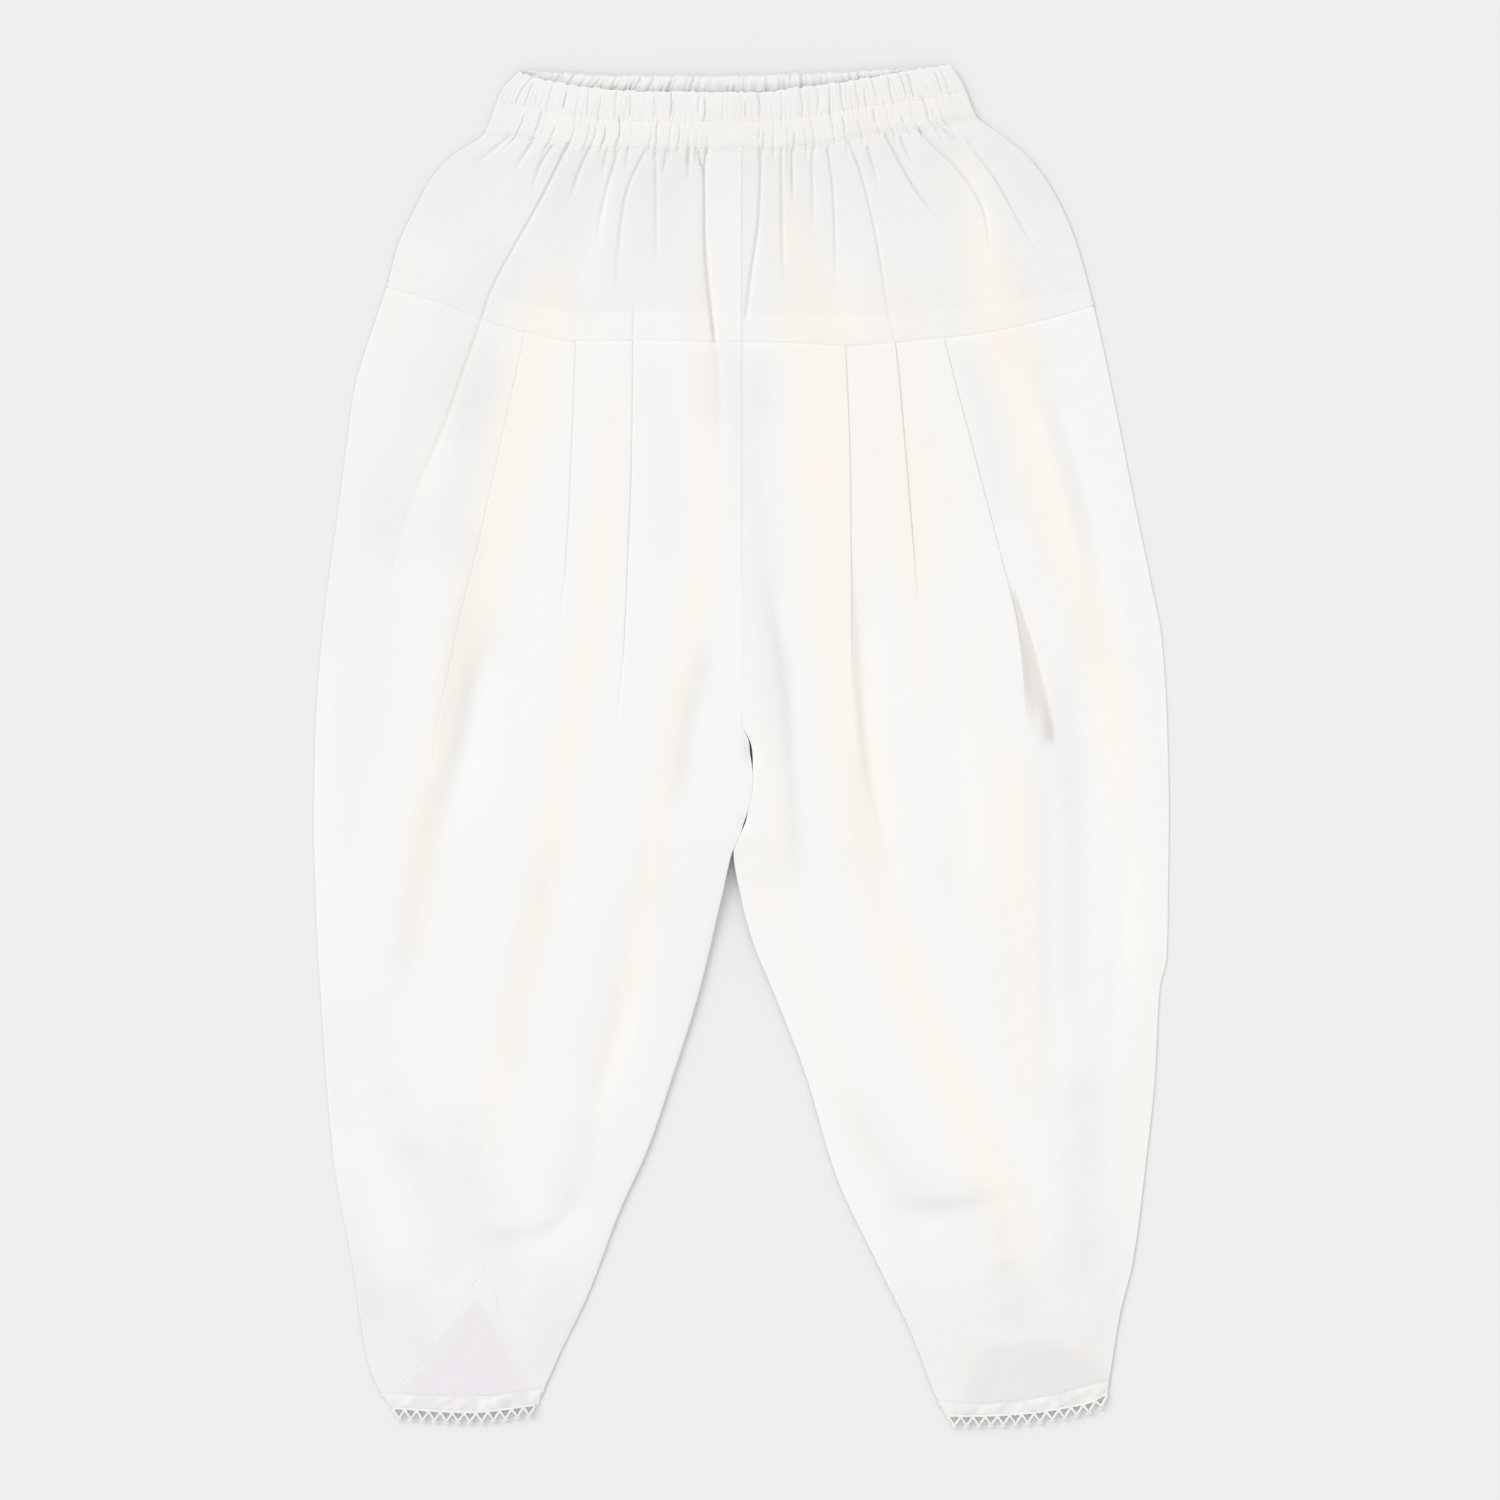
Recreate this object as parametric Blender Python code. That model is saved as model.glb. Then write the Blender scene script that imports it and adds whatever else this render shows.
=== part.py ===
"""A white cotton shalwar, laid flat with its front up.

Pieces: an elastic waistband casing, a gathered hip yoke, two full pleated legs, narrow turned hems
and a crochet edging, each cut as a front and a back. Left and right are as seen from above.

Frame: +Y towards the waist, +X to the right, +Z up from the surface that the garment lies on.
The tables give x from the centre front seam and "down", the distance below the waistband's highest
point, both in millimetres on the garment as it lies.
"""

import math
from collections import namedtuple

import bmesh
import bpy

MM = 0.001

# Driving sizes, in millimetres
LENGTH = 681.0
CLOTH = 1.2
SEAM_GAP = 0.3
BAND_WALL = 1.8
HEM_WALL = 1.6
LACE_WALL = 1.0
GATHERS_ROUND_FRONT = 32
GATHER_RISE = 2.2
BACK_GATHER_RISE = 1.6
BAND_LIFT = 2.4
STITCH_PRESS = 0.45
PLEAT_STEP = 2.2
PLEAT_SPREAD = 24.0
PLEAT_EDGE = 0.9
SIDE_ROLL = 9.0
LACE_DEPTH = 5.6
PICOT_WIDTH = 1.2
PICOT_FLARE = 0.3
HOLE_WIDTH = 4.3
HOLE_HEIGHT = 3.3
CORD = 1.0

TOP_Y = LENGTH / 2
LAP = CLOTH + SEAM_GAP
HALF_GAP = SEAM_GAP / 2

WHITE_COTTON = (0.90, 0.89, 0.87, 1.0)
WHITE_CASING = (0.91, 0.90, 0.88, 1.0)
WHITE_CROCHET = (0.93, 0.92, 0.90, 1.0)

# Outlines: (down, x)
SIDE_LEFT = (
    (2.5, -109.8), (12.5, -119.3), (34.5, -128.7), (46, -145), (58, -155.5), (75, -164.5),
    (90, -171.5), (110, -177), (137, -186), (160, -193), (215, -200.5), (285, -209.5),
    (335, -213), (380, -213.75), (420, -212.7), (470, -210), (550, -203.5), (597, -194.8),
    (650, -186.2), (664, -180), (672, -174.2),
)
SIDE_RIGHT = (
    (0, 104.3), (10, 110.7), (27, 118.3), (35, 129.3), (47.5, 144.3), (62.5, 155.3),
    (87.5, 166.8), (117.5, 175.3), (167.5, 186.3), (217.5, 196.3), (258.5, 204.8), (288, 210.3),
    (329, 212.9), (372, 213.75), (418, 213.3), (446, 212.7), (461, 209.3), (507, 206.7),
    (548, 202.3), (598, 195.7), (624, 189.3), (648, 185.3), (664, 183.2), (676, 182.6),
)
INNER_LEFT = (
    (0, 0), (328, 0), (340, 4.4), (358, 5.7), (373, 3.2), (388, -1.9), (393, -4.4), (417, -10),
    (464, -21.3), (507, -34.8), (542, -46.8), (573, -60.8), (614, -76.3), (650, -93.3),
    (667, -100.3), (676, -102.5),
)
INNER_RIGHT = (
    (0, 0), (328, 0), (340, 4.4), (358, 5.7), (373, 3.2), (388, -1.9), (393, -4.0), (414, -0.7),
    (437, 5.3), (464, 16.3), (504, 31.8), (555, 47.3), (600, 68.3), (635, 85.3), (666, 97.3),
    (677, 103),
)

# Edges across the garment: (x, down)
BAND_TOP_FRONT = (
    (-112, 3.0), (-96, 8), (-75, 11.5), (-46, 14), (-18, 14.3), (8, 14.5), (32, 11.5),
    (54, 8.5), (75, 5), (88, 2.4), (97, 0.8), (104.3, 0),
)
BAND_TOP_BACK = (
    (-112, 2.5), (-87, 3.7), (-66, 4.5), (-18, 5), (32, 3.8), (60, 2.7), (88, 1.6), (104.3, 0),
)
BAND_BOTTOM = (
    (-129, 34.5), (-104, 38), (-79, 42.5), (-63, 43.7), (-18, 44), (10, 43.7), (34, 42),
    (54, 37.5), (69, 34.8), (88, 33.3), (106, 29), (118.3, 27),
)
YOKE_SEAM = (
    (-178, 111), (-148, 120.5), (-129, 128), (-107, 134.5), (-82, 139), (-54, 138.6), (0, 139.5),
    (30, 140), (51, 141.3), (77, 139.6), (102, 137), (116, 135.5), (141, 130.5), (179, 120),
)
HEM_TOP_LEFT = ((-180, 663.5), (-174, 664.3), (-136, 665.5), (-106, 662.7), (-98, 661.3))
HEM_FOOT_LEFT = ((-174.5, 671.5), (-136, 673.5), (-102.5, 669.8))
HEM_TOP_RIGHT = (
    (98, 668), (121, 669.3), (132, 668.5), (143, 667), (158, 664.3), (171, 660.7), (184, 657.3),
)
HEM_FOOT_RIGHT = (
    (102.7, 675.4), (115, 675.4), (132, 674.8), (149, 673.3), (161, 671.3), (173, 668.8),
    (183, 664),
)

# Gathers of the yoke, left then right: x at the band, half way down and at the yoke seam, the share
# of the yoke's height that the fold reaches, and its depth
YokeFold = namedtuple("YokeFold", "top middle foot reach depth")
YOKE_FOLDS_LEFT = (
    YokeFold(-116, -148, -163, 0.40, 1.8),
    YokeFold(-104, -131, -152, 0.45, 2.0),
    YokeFold(-95, -120, -143, 0.35, 1.8),
    YokeFold(-87, -110, -131.5, 1.00, 3.0),
    YokeFold(-76, -93, -110, 0.60, 2.2),
    YokeFold(-68, -81, -92, 0.35, 1.8),
    YokeFold(-62, -73, -79, 0.70, 2.2),
    YokeFold(-49, -62, -64.5, 0.95, 2.4),
    YokeFold(-42, -43, -44, 0.70, 2.6),
    YokeFold(-37, -35.5, -35, 0.35, 1.8),
    YokeFold(-27, -26.5, -25, 0.40, 2.0),
    YokeFold(-19.5, -18.7, -14.5, 1.00, 3.6),
)
YOKE_FOLDS_RIGHT = (
    YokeFold(9.3, 6.2, 3.6, 0.95, 2.4),
    YokeFold(18.5, 19.9, 21, 0.85, 2.6),
    YokeFold(25, 27.5, 30, 0.55, 2.2),
    YokeFold(34.5, 35.8, 38, 0.60, 2.0),
    YokeFold(42.5, 46, 48, 0.90, 2.4),
    YokeFold(53, 66.5, 76.5, 1.00, 2.8),
    YokeFold(62, 78, 92, 0.40, 1.8),
    YokeFold(71, 102, 112, 0.65, 2.2),
    YokeFold(79, 111.5, 118.5, 0.30, 1.6),
    YokeFold(88, 121.5, 126, 0.80, 2.6),
    YokeFold(98, 130, 142, 0.30, 1.6),
    YokeFold(107, 140, 162, 0.80, 2.4),
)

# Lines that run down the legs, a row for each section: the distance down, then each line's x there
LeftSection = namedtuple("LeftSection", "down outer pleat_1 pleat_2 pleat_3 centre")
LEFT_SECTIONS = (
    LeftSection(110, -124, -102, -82, -54, -14),
    LeftSection(139, -135.5, -108.5, -82.3, -54.3, -14.5),
    LeftSection(200, -157.5, -122, -84.5, -55, -13),
    LeftSection(240, -172.5, -131, -86.5, -56.5, -15),
    LeftSection(285, -180, -142, -90, -58.5, -19.5),
    LeftSection(335, -185, -151.5, -97, -62.5, -25.5),
    LeftSection(400, -188, -157, -110, -71, -34),
    LeftSection(470, -187, -158, -122, -84, -47),
    LeftSection(550, -184, -160, -131, -101, -71),
    LeftSection(600, -178, -158, -135, -111, -88),
    LeftSection(650, -172, -156, -139, -122, -107),
    LeftSection(672, -163, -150, -137, -124, -113),
)
RightSection = namedtuple("RightSection", "down centre pleat_3 pleat_2 pleat_1 outer")
RIGHT_SECTIONS = (
    RightSection(110, 14, 49, 73, 95, 134),
    RightSection(139, 15, 51.3, 77.5, 102, 144),
    RightSection(200, 15, 53.8, 83.2, 118, 164),
    RightSection(240, 14.5, 54.3, 86.5, 128.5, 175),
    RightSection(285, 19.5, 54.8, 91, 139, 184),
    RightSection(335, 25, 57.5, 99, 144, 191),
    RightSection(400, 27, 73, 111, 149, 190),
    RightSection(470, 44, 82, 118, 152, 186),
    RightSection(550, 68, 92, 122, 153.5, 182),
    RightSection(600, 86, 104, 127, 150, 174),
    RightSection(650, 105, 119, 135, 151, 168),
    RightSection(672, 113, 125, 139, 153, 168),
)

# Knife pleats: the line that each follows, how far down its edge runs, and its step as a share.
# The layer nearer the centre lies on top, so the edge faces the side of the garment.
Pleat = namedtuple("Pleat", "line end strength")
PLEATS_LEFT = (
    Pleat("pleat_1", 352, 0.9),
    Pleat("pleat_2", 262, 0.9),
    Pleat("pleat_3", 313, 1.0),
)
PLEATS_RIGHT = (
    Pleat("pleat_1", 335, 1.0),
    Pleat("pleat_2", 284, 1.0),
    Pleat("pleat_3", 418, 1.1),
)

# Soft folds of the legs: three points along each, its depth (a ridge is negative) and half width
SoftFold = namedtuple("SoftFold", "x1 down1 x2 down2 x3 down3 depth half_width")
SOFT_FOLDS = (
    SoftFold(-131, 128, -157, 198, -174, 245, 2.0, 5.0),
    SoftFold(-136, 285, -148, 350, -168, 450, 2.6, 8.0),
    SoftFold(-14.5, 137, -13, 180, -14, 240, 2.2, 5.0),
    SoftFold(-21, 300, -26, 340, -33, 385, 1.8, 7.0),
    SoftFold(-1.5, 326, 3.5, 350, 1.0, 384, 2.4, 5.0),
    SoftFold(-85, 380, -105, 450, -124, 520, 1.6, 10.0),
    SoftFold(-46, 405, -60, 470, -76, 530, 1.6, 10.0),
    SoftFold(-180, 534, -150, 551, -100, 572, 2.2, 8.0),
    SoftFold(-136, 588, -104, 588, -76, 560, 2.2, 8.0),
    SoftFold(-194, 595, -175, 622, -158, 631, 1.4, 7.0),
    SoftFold(-127, 596, -131, 626, -138, 660, 1.2, 12.0),
    SoftFold(141, 131, 160, 184, 192, 330, 1.6, 8.0),
    SoftFold(139, 265, 147, 312, 152, 345, 4.0, 5.5),
    SoftFold(152, 340, 155, 440, 154, 545, 1.4, 7.0),
    SoftFold(15, 250, 24.5, 322, 26.5, 400, 2.6, 7.0),
    SoftFold(57, 330, 65, 370, 80, 440, 1.6, 8.0),
    SoftFold(74, 563, 105, 568, 142, 569, 2.6, 8.0),
    SoftFold(140, 570, 138, 598, 126, 622, 1.6, 7.0),
    SoftFold(118, 652, 148, 648, 178, 655, 1.2, 9.0),
)

# How far the cloth stands up between its edges, by the distance down
PUFF = (
    (27, 4.6), (44, 4.8), (90, 4.6), (140, 4.4), (240, 4.6), (340, 5.2), (440, 4.6), (540, 3.8),
    (600, 3.2), (645, 2.0), (664, 0.9), (690, 0.6),
)
FORK_START = 305
FORK_END = 345
FORK_GAP = 0.6


def through(table):
    """The smooth curve through a table's rows that never swings past them, level beyond its ends."""
    xs = [row[0] for row in table]
    ys = [row[1] for row in table]
    rise = [(ys[i + 1] - ys[i]) / (xs[i + 1] - xs[i]) for i in range(len(xs) - 1)]
    slope = [rise[0]] + [0.0] * (len(xs) - 2) + [rise[-1]]
    for i in range(1, len(xs) - 1):
        if rise[i - 1] * rise[i] > 0:
            slope[i] = 2 * rise[i - 1] * rise[i] / (rise[i - 1] + rise[i])

    def value(x):
        if x <= xs[0]:
            return ys[0]
        if x >= xs[-1]:
            return ys[-1]
        i = max(k for k in range(len(xs) - 1) if xs[k] <= x)
        step = xs[i + 1] - xs[i]
        t = (x - xs[i]) / step
        start = ys[i] * (2 * t**3 - 3 * t**2 + 1) + slope[i] * step * (t**3 - 2 * t**2 + t)
        end = ys[i + 1] * (3 * t**2 - 2 * t**3) + slope[i + 1] * step * (t**3 - t**2)
        return start + end

    return value


side_left = through(SIDE_LEFT)
side_right = through(SIDE_RIGHT)
inner_left = through(INNER_LEFT)
inner_right = through(INNER_RIGHT)
band_top_front = through(BAND_TOP_FRONT)
band_top_back = through(BAND_TOP_BACK)
band_bottom = through(BAND_BOTTOM)
yoke_seam = through(YOKE_SEAM)
hem_top_left = through(HEM_TOP_LEFT)
hem_foot_left = through(HEM_FOOT_LEFT)
hem_top_right = through(HEM_TOP_RIGHT)
hem_foot_right = through(HEM_FOOT_RIGHT)
puff_at = through(PUFF)


def mix(a, b, share):
    return a + (b - a) * share


def ease(low, high, value):
    """0 below low, 1 above high, and a smooth rise between."""
    t = min(max((value - low) / (high - low), 0.0), 1.0)
    return t * t * (3 - 2 * t)


def parabola(first, middle, last, t):
    """The value at t of the parabola with these values at 0, a half and 1."""
    return first * 2 * (t - 0.5) * (t - 1) + middle * 4 * t * (1 - t) + last * 2 * t * (t - 0.5)


def curve_points(first, middle, last, count=9):
    """Points of the parabola that passes the middle point half way."""
    shares = [i / (count - 1) for i in range(count)]
    xs, downs = ([parabola(*values, t) for t in shares] for values in zip(first, middle, last))
    return list(zip(xs, downs))


def nearest(points, x, down):
    """The distance from a line of points, and how far along it the nearest place is, from 0 to 1."""
    best = (1e9, 0.0)
    for i in range(len(points) - 1):
        from_x, from_down = x - points[i][0], down - points[i][1]
        step_x, step_down = points[i + 1][0] - points[i][0], points[i + 1][1] - points[i][1]
        t = (from_x * step_x + from_down * step_down) / (step_x * step_x + step_down * step_down)
        t = min(max(t, 0.0), 1.0)
        distance = math.hypot(from_x - t * step_x, from_down - t * step_down)
        if distance < best[0]:
            best = (distance, (i + t) / (len(points) - 1))
    return best


SOFT_LINES = [
    (curve_points((f.x1, f.down1), (f.x2, f.down2), (f.x3, f.down3)), f) for f in SOFT_FOLDS
]


def soft_folds(x, down):
    """The soft folds' sum at a place, each fading out towards both its ends."""
    total = 0.0
    for points, fold in SOFT_LINES:
        distance, along = nearest(points, x, down)
        if distance < 3 * fold.half_width:
            fade = math.sin(math.pi * min(max(along, 0.03), 0.97)) ** 0.7
            total -= fold.depth * fade * math.exp(-((distance / fold.half_width) ** 2))
    return total


def fold_lines(sections):
    """Each named line of a leg's sections, as x by the distance down."""
    names = sections[0]._fields[1:]
    return {name: through([(s.down, getattr(s, name)) for s in sections]) for name in names}


LEFT_LINES = fold_lines(LEFT_SECTIONS)
RIGHT_LINES = fold_lines(RIGHT_SECTIONS)


def pleats(x, down, lines, rows, inward):
    """Knife pleats: a steep step at each edge, falling away slowly on the layer that lies on top."""
    total = 0.0
    start = yoke_seam(x)
    for pleat in rows:
        inside = (x - lines[pleat.line](down)) * inward
        fade = 1 - ease(mix(start, pleat.end, 0.55), pleat.end, down)
        step = ease(-PLEAT_EDGE, PLEAT_EDGE, inside)
        fall = max(0.0, 1 - max(inside - PLEAT_EDGE, 0.0) / PLEAT_SPREAD) ** 1.6
        total += PLEAT_STEP * pleat.strength * fade * step * fall
    return total


def side_distance(x, down):
    """How far inside the garment's outer edge a place is."""
    return max(min(x - side_left(down), side_right(down) - x), 0.0)


def inner_distance(x, down):
    """How far a place is from the edge of its own leg at the fork."""
    return max(inner_left(down) - x, 0.0) if x < inner_left(down) else max(x - inner_right(down), 0.0)


def body(x, down):
    """The front's rise over the back without its folds: rolled at the sides and at the inner legs."""
    sides = 1 - math.exp(-side_distance(x, down) / SIDE_ROLL)
    fork = ease(FORK_START, FORK_END, down)
    inner = 1 - fork * math.exp(-inner_distance(x, down) / SIDE_ROLL)
    return puff_at(down) * sides * inner


def yoke_line(fold):
    """A yoke fold's points, from the band down to where it fades out."""
    points = []
    for i in range(9):
        v = fold.reach * i / 8
        x = yoke_fold_x(fold, v)
        points.append((x, mix(band_bottom(x), yoke_seam(x), v)))
    return points


def yoke_fold_x(fold, v):
    """A yoke fold's x at a share of the yoke's height."""
    return parabola(fold.top, fold.middle, fold.foot, v)


YOKE_LINES = [(yoke_line(f), f) for f in YOKE_FOLDS_LEFT + YOKE_FOLDS_RIGHT]


def yoke_folds(x, down):
    """The gathers below the waistband: narrow and deep there, wider and shallower lower down."""
    total = 0.0
    for points, fold in YOKE_LINES:
        distance, along = nearest(points, x, down)
        width = mix(2.0, 5.0, along * fold.reach)
        if distance < 3 * width:
            carries_on = 0.45 if fold.reach >= 1 else 0.0
            fade = mix(1 - ease(0.3, 1.0, along), 1.0, carries_on)
            total -= fold.depth * fade * math.exp(-((distance / width) ** 2))
    return total


def front_underside(x, down):
    """The height of the front's underside, never nearer the back than the seam gap."""
    height = body(x, down) + soft_folds(x, down)
    if down < yoke_seam(x):
        height += yoke_folds(x, down)
    elif x < inner_left(down):
        height += pleats(x, down, LEFT_LINES, PLEATS_LEFT, 1)
    else:
        height += pleats(x, down, RIGHT_LINES, PLEATS_RIGHT, -1)
    return LAP + max(height, 0.0)


def wall_height(underside, x, down, wall):
    """The upright thickness that keeps a slanting wall about as thick as a level one."""
    reach = 0.6
    along = (underside(x + reach, down) - underside(x - reach, down)) / (2 * reach)
    across = (underside(x, down + reach) - underside(x, down - reach)) / (2 * reach)
    return wall * math.sqrt(1 + min(along * along + across * across, 1.5))


def new_material(name, colour, roughness):
    material = bpy.data.materials.new(name)
    material.use_nodes = True
    shader = material.node_tree.nodes["Principled BSDF"]
    shader.inputs["Base Color"].default_value = colour
    shader.inputs["Roughness"].default_value = roughness
    shader.inputs["Metallic"].default_value = 0.0
    return material


def new_object(name, mesh, collection, colour, roughness=0.9):
    item = bpy.data.objects.new(name, mesh)
    item.data.materials.append(new_material(name, colour, roughness))
    collection.objects.link(item)
    return item


def panel(name, collection, columns, rows, place, underside, wall, colour, even_wall=False):
    """A cloth wall: a grid laid out by place(column, row), raised to its underside, then extruded up."""
    mesh = bpy.data.meshes.new(name)
    sheet = bmesh.new()
    bmesh.ops.create_grid(sheet, x_segments=columns - 1, y_segments=rows - 1, size=1.0)
    for vertex in sheet.verts:
        column = round((vertex.co.x + 1) / 2 * (columns - 1))
        row = round((1 - vertex.co.y) / 2 * (rows - 1))
        x, down = place(column, row)
        vertex.co = (x, down, underside(x, down))
    bmesh.ops.triangulate(sheet, faces=sheet.faces[:])
    extruded = bmesh.ops.extrude_face_region(sheet, geom=sheet.faces[:])
    for vertex in (item for item in extruded["geom"] if isinstance(item, bmesh.types.BMVert)):
        x, down, _ = vertex.co
        vertex.co.z += wall if even_wall else wall_height(underside, x, down, wall)
    for vertex in sheet.verts:
        x, down, z = vertex.co
        vertex.co = (x * MM, (TOP_Y - down) * MM, z * MM)
    bmesh.ops.recalc_face_normals(sheet, faces=sheet.faces[:])
    sheet.to_mesh(mesh)
    sheet.free()
    return new_object(name, mesh, collection, colour)


def placed(x_at, top, foot, share):
    """Where a line x(down) meets the level at a share of the way from the top edge to the foot."""
    x = x_at(mix(top(0), foot(0), share))
    for _ in range(12):
        down = mix(top(x), foot(x), share)
        x = x_at(down)
    return x, mix(top(x), foot(x), share)


def between_lines(lines, shares, top, foot):
    """A place function for a panel whose columns lie between neighbouring lines x(down)."""

    def place(column, row):
        position = lines[column]
        return placed(position, top, foot, shares[row])

    return place


def lerp_line(first, second, share):
    return lambda down: mix(first(down), second(down), share)


def shifted(line, distance):
    return lambda down: line(down) + distance


def fork_edge(line, side):
    """A leg's inner edge: at the centre seam down to the fork, a little more clear of the other leg below."""
    return lambda down: line(down) + side * mix(HALF_GAP, FORK_GAP, ease(318, 330, down))


def spread_lines(first, second, count):
    """Lines evenly spread between two, without the two themselves."""
    return [lerp_line(first, second, (i + 1) / (count + 1)) for i in range(count)]


def even(count):
    return [i / (count - 1) for i in range(count)]


def gather_shares(count):
    """Where the gathers' creases lie along the band: unevenly spaced, as gathered elastic is."""
    shares = []
    for i in range(1, count):
        shares.append((i + 0.26 * math.sin(i * 2.4) + 0.16 * math.sin(i * 5.1 + 1)) / count)
    return shares


def band_lines(count, crests, gap):
    """The band's columns: a crease line for each gather, with crest lines between neighbouring ones."""
    creases = [0.0] + gather_shares(count) + [1.0]
    lines = []
    for i in range(count):
        for k in range(crests + 1):
            share = mix(creases[i], creases[i + 1], (0.0, 0.32, 0.68)[k] if crests == 2 else 0.5 * k)
            lines.append(lerp_line(shifted(side_left, gap), shifted(side_right, -gap), share))
    lines.append(shifted(side_right, -gap))
    return lines


def gather_wave(share, creases):
    """0 in a gather's crease and 1 on its crest."""
    for i in range(len(creases) - 1):
        if share <= creases[i + 1]:
            t = (share - creases[i]) / (creases[i + 1] - creases[i])
            return math.sin(math.pi * min(max(t, 0.0), 1.0)) ** 0.6
    return 0.0


CREASES = [0.0] + gather_shares(GATHERS_ROUND_FRONT) + [1.0]


def band_share(x, down):
    left, right = side_left(down), side_right(down)
    return min(max((x - left) / (right - left), 0.0), 1.0)


def band_press(x, down, top):
    """How freely the casing puffs between its edges and the stitch row along its middle."""
    t = (down - top(x)) / max(band_bottom(x) - top(x), 1.0)
    pressed = math.exp(-(((t - 0.5) / 0.09) ** 2)) * (1 - STITCH_PRESS)
    return 1 - pressed - 0.35 * math.exp(-(((t - 1) / 0.12) ** 2))


def back_band_underside(x, down):
    share = band_share(x, down)
    fade = ease(0, 0.03, share) * ease(0, 0.03, 1 - share)
    return BACK_GATHER_RISE * (1 - gather_wave(share, CREASES)) * fade


def front_band_underside(x, down):
    share = band_share(x, down)
    fade = ease(0, 0.03, share) * ease(0, 0.03, 1 - share)
    wave = GATHER_RISE * gather_wave(share, CREASES) * band_press(x, down, band_top_front)
    lift = BAND_LIFT * (1 - (2 * share - 1) ** 4)
    return BAND_WALL + SEAM_GAP + (BACK_GATHER_RISE + wave) * fade + lift


def moved(line, distance):
    """An edge x -> down moved towards the foot."""
    return lambda x: line(x) + distance


def make_bands(collection):
    front_shares = [0.0, 0.1, 0.3, 0.5, 0.72, 1.0]
    back_shares = [0.0, 0.35, 0.7, 1.0]
    for name, crests, shares, top, underside in (
        ("waistband_front", 2, front_shares, band_top_front, front_band_underside),
        ("waistband_back", 1, back_shares, band_top_back, back_band_underside),
    ):
        lines = band_lines(GATHERS_ROUND_FRONT, crests, 0.0)
        foot = moved(band_bottom, -HALF_GAP)
        place = between_lines(lines, shares, top, foot)
        panel(name, collection, len(lines), len(shares), place, underside, BAND_WALL, WHITE_CASING)


def yoke_front_lines(folds, edge_left, edge_right):
    """Columns of a yoke front as x by the share of its height: each fold's line and the crests between."""
    tracks = [edge_left] + [lambda v, f=f: yoke_fold_x(f, v) for f in folds] + [edge_right]
    lines = [tracks[0]]
    for first, second in zip(tracks, tracks[1:]):
        lines.append(lambda v, a=first, b=second: mix(a(v), b(v), 0.5))
        lines.append(second)
    return lines


def make_yoke_fronts(collection):
    shares = [0.0, 0.06, 0.15, 0.28, 0.42, 0.6, 0.8, 1.0]
    top = moved(band_bottom, HALF_GAP)
    foot = moved(yoke_seam, -HALF_GAP)

    def edge(line):
        return lambda v: placed(line, top, foot, v)[0]

    left = yoke_front_lines(YOKE_FOLDS_LEFT, edge(side_left), lambda v: -HALF_GAP)
    right = yoke_front_lines(YOKE_FOLDS_RIGHT, lambda v: HALF_GAP, edge(side_right))
    for name, lines in (("yoke_front_left", left), ("yoke_front_right", right)):

        def place(column, row, lines=lines):
            x = lines[column](shares[row])
            return x, mix(top(x), foot(x), shares[row])

        panel(name, collection, len(lines), len(shares), place, front_underside, CLOTH, WHITE_COTTON)


def leg_columns(side, outer, edges, centre, inner, inward):
    """A leg front's columns, from its side to its inner edge. Each pleat has a low and a high line."""
    lines = [side, shifted(side, 2.5 * inward), shifted(side, 8 * inward)]
    lines += [outer]
    before = outer
    for edge in edges:
        low = shifted(edge, -PLEAT_EDGE * inward)
        high = shifted(edge, PLEAT_EDGE * inward)
        lines += spread_lines(before, low, 1)
        lines += [low, high, shifted(edge, 9 * inward)]
        before = lines[-1]
    lines += spread_lines(before, centre, 1)
    lines += [centre]
    lines += [shifted(inner, -6 * inward), shifted(inner, -2 * inward), inner]
    return lines if inward > 0 else lines[::-1]


def make_leg_fronts(collection):
    shares = [0.0, 0.03, 0.08, 0.14, 0.2, 0.26, 0.31, 0.355, 0.39, 0.425, 0.46, 0.5, 0.545, 0.6]
    shares += [0.66, 0.72, 0.765, 0.795, 0.82, 0.845, 0.87, 0.905, 0.94, 0.97, 1.0]
    top = moved(yoke_seam, HALF_GAP)
    rows = (
        ("leg_front_left", LEFT_LINES, side_left, fork_edge(inner_left, -1), hem_top_left, 1),
        ("leg_front_right", RIGHT_LINES, side_right, fork_edge(inner_right, 1), hem_top_right, -1),
    )
    for name, lines, side, inner, hem, inward in rows:
        edges = [lines["pleat_1"], lines["pleat_2"], lines["pleat_3"]]
        columns = leg_columns(side, lines["outer"], edges, lines["centre"], inner, inward)
        place = between_lines(columns, shares, top, moved(hem, -HALF_GAP))
        panel(
            name, collection, len(columns), len(shares), place, front_underside, CLOTH, WHITE_COTTON
        )


def flat(x, down):
    return 0.0


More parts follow.
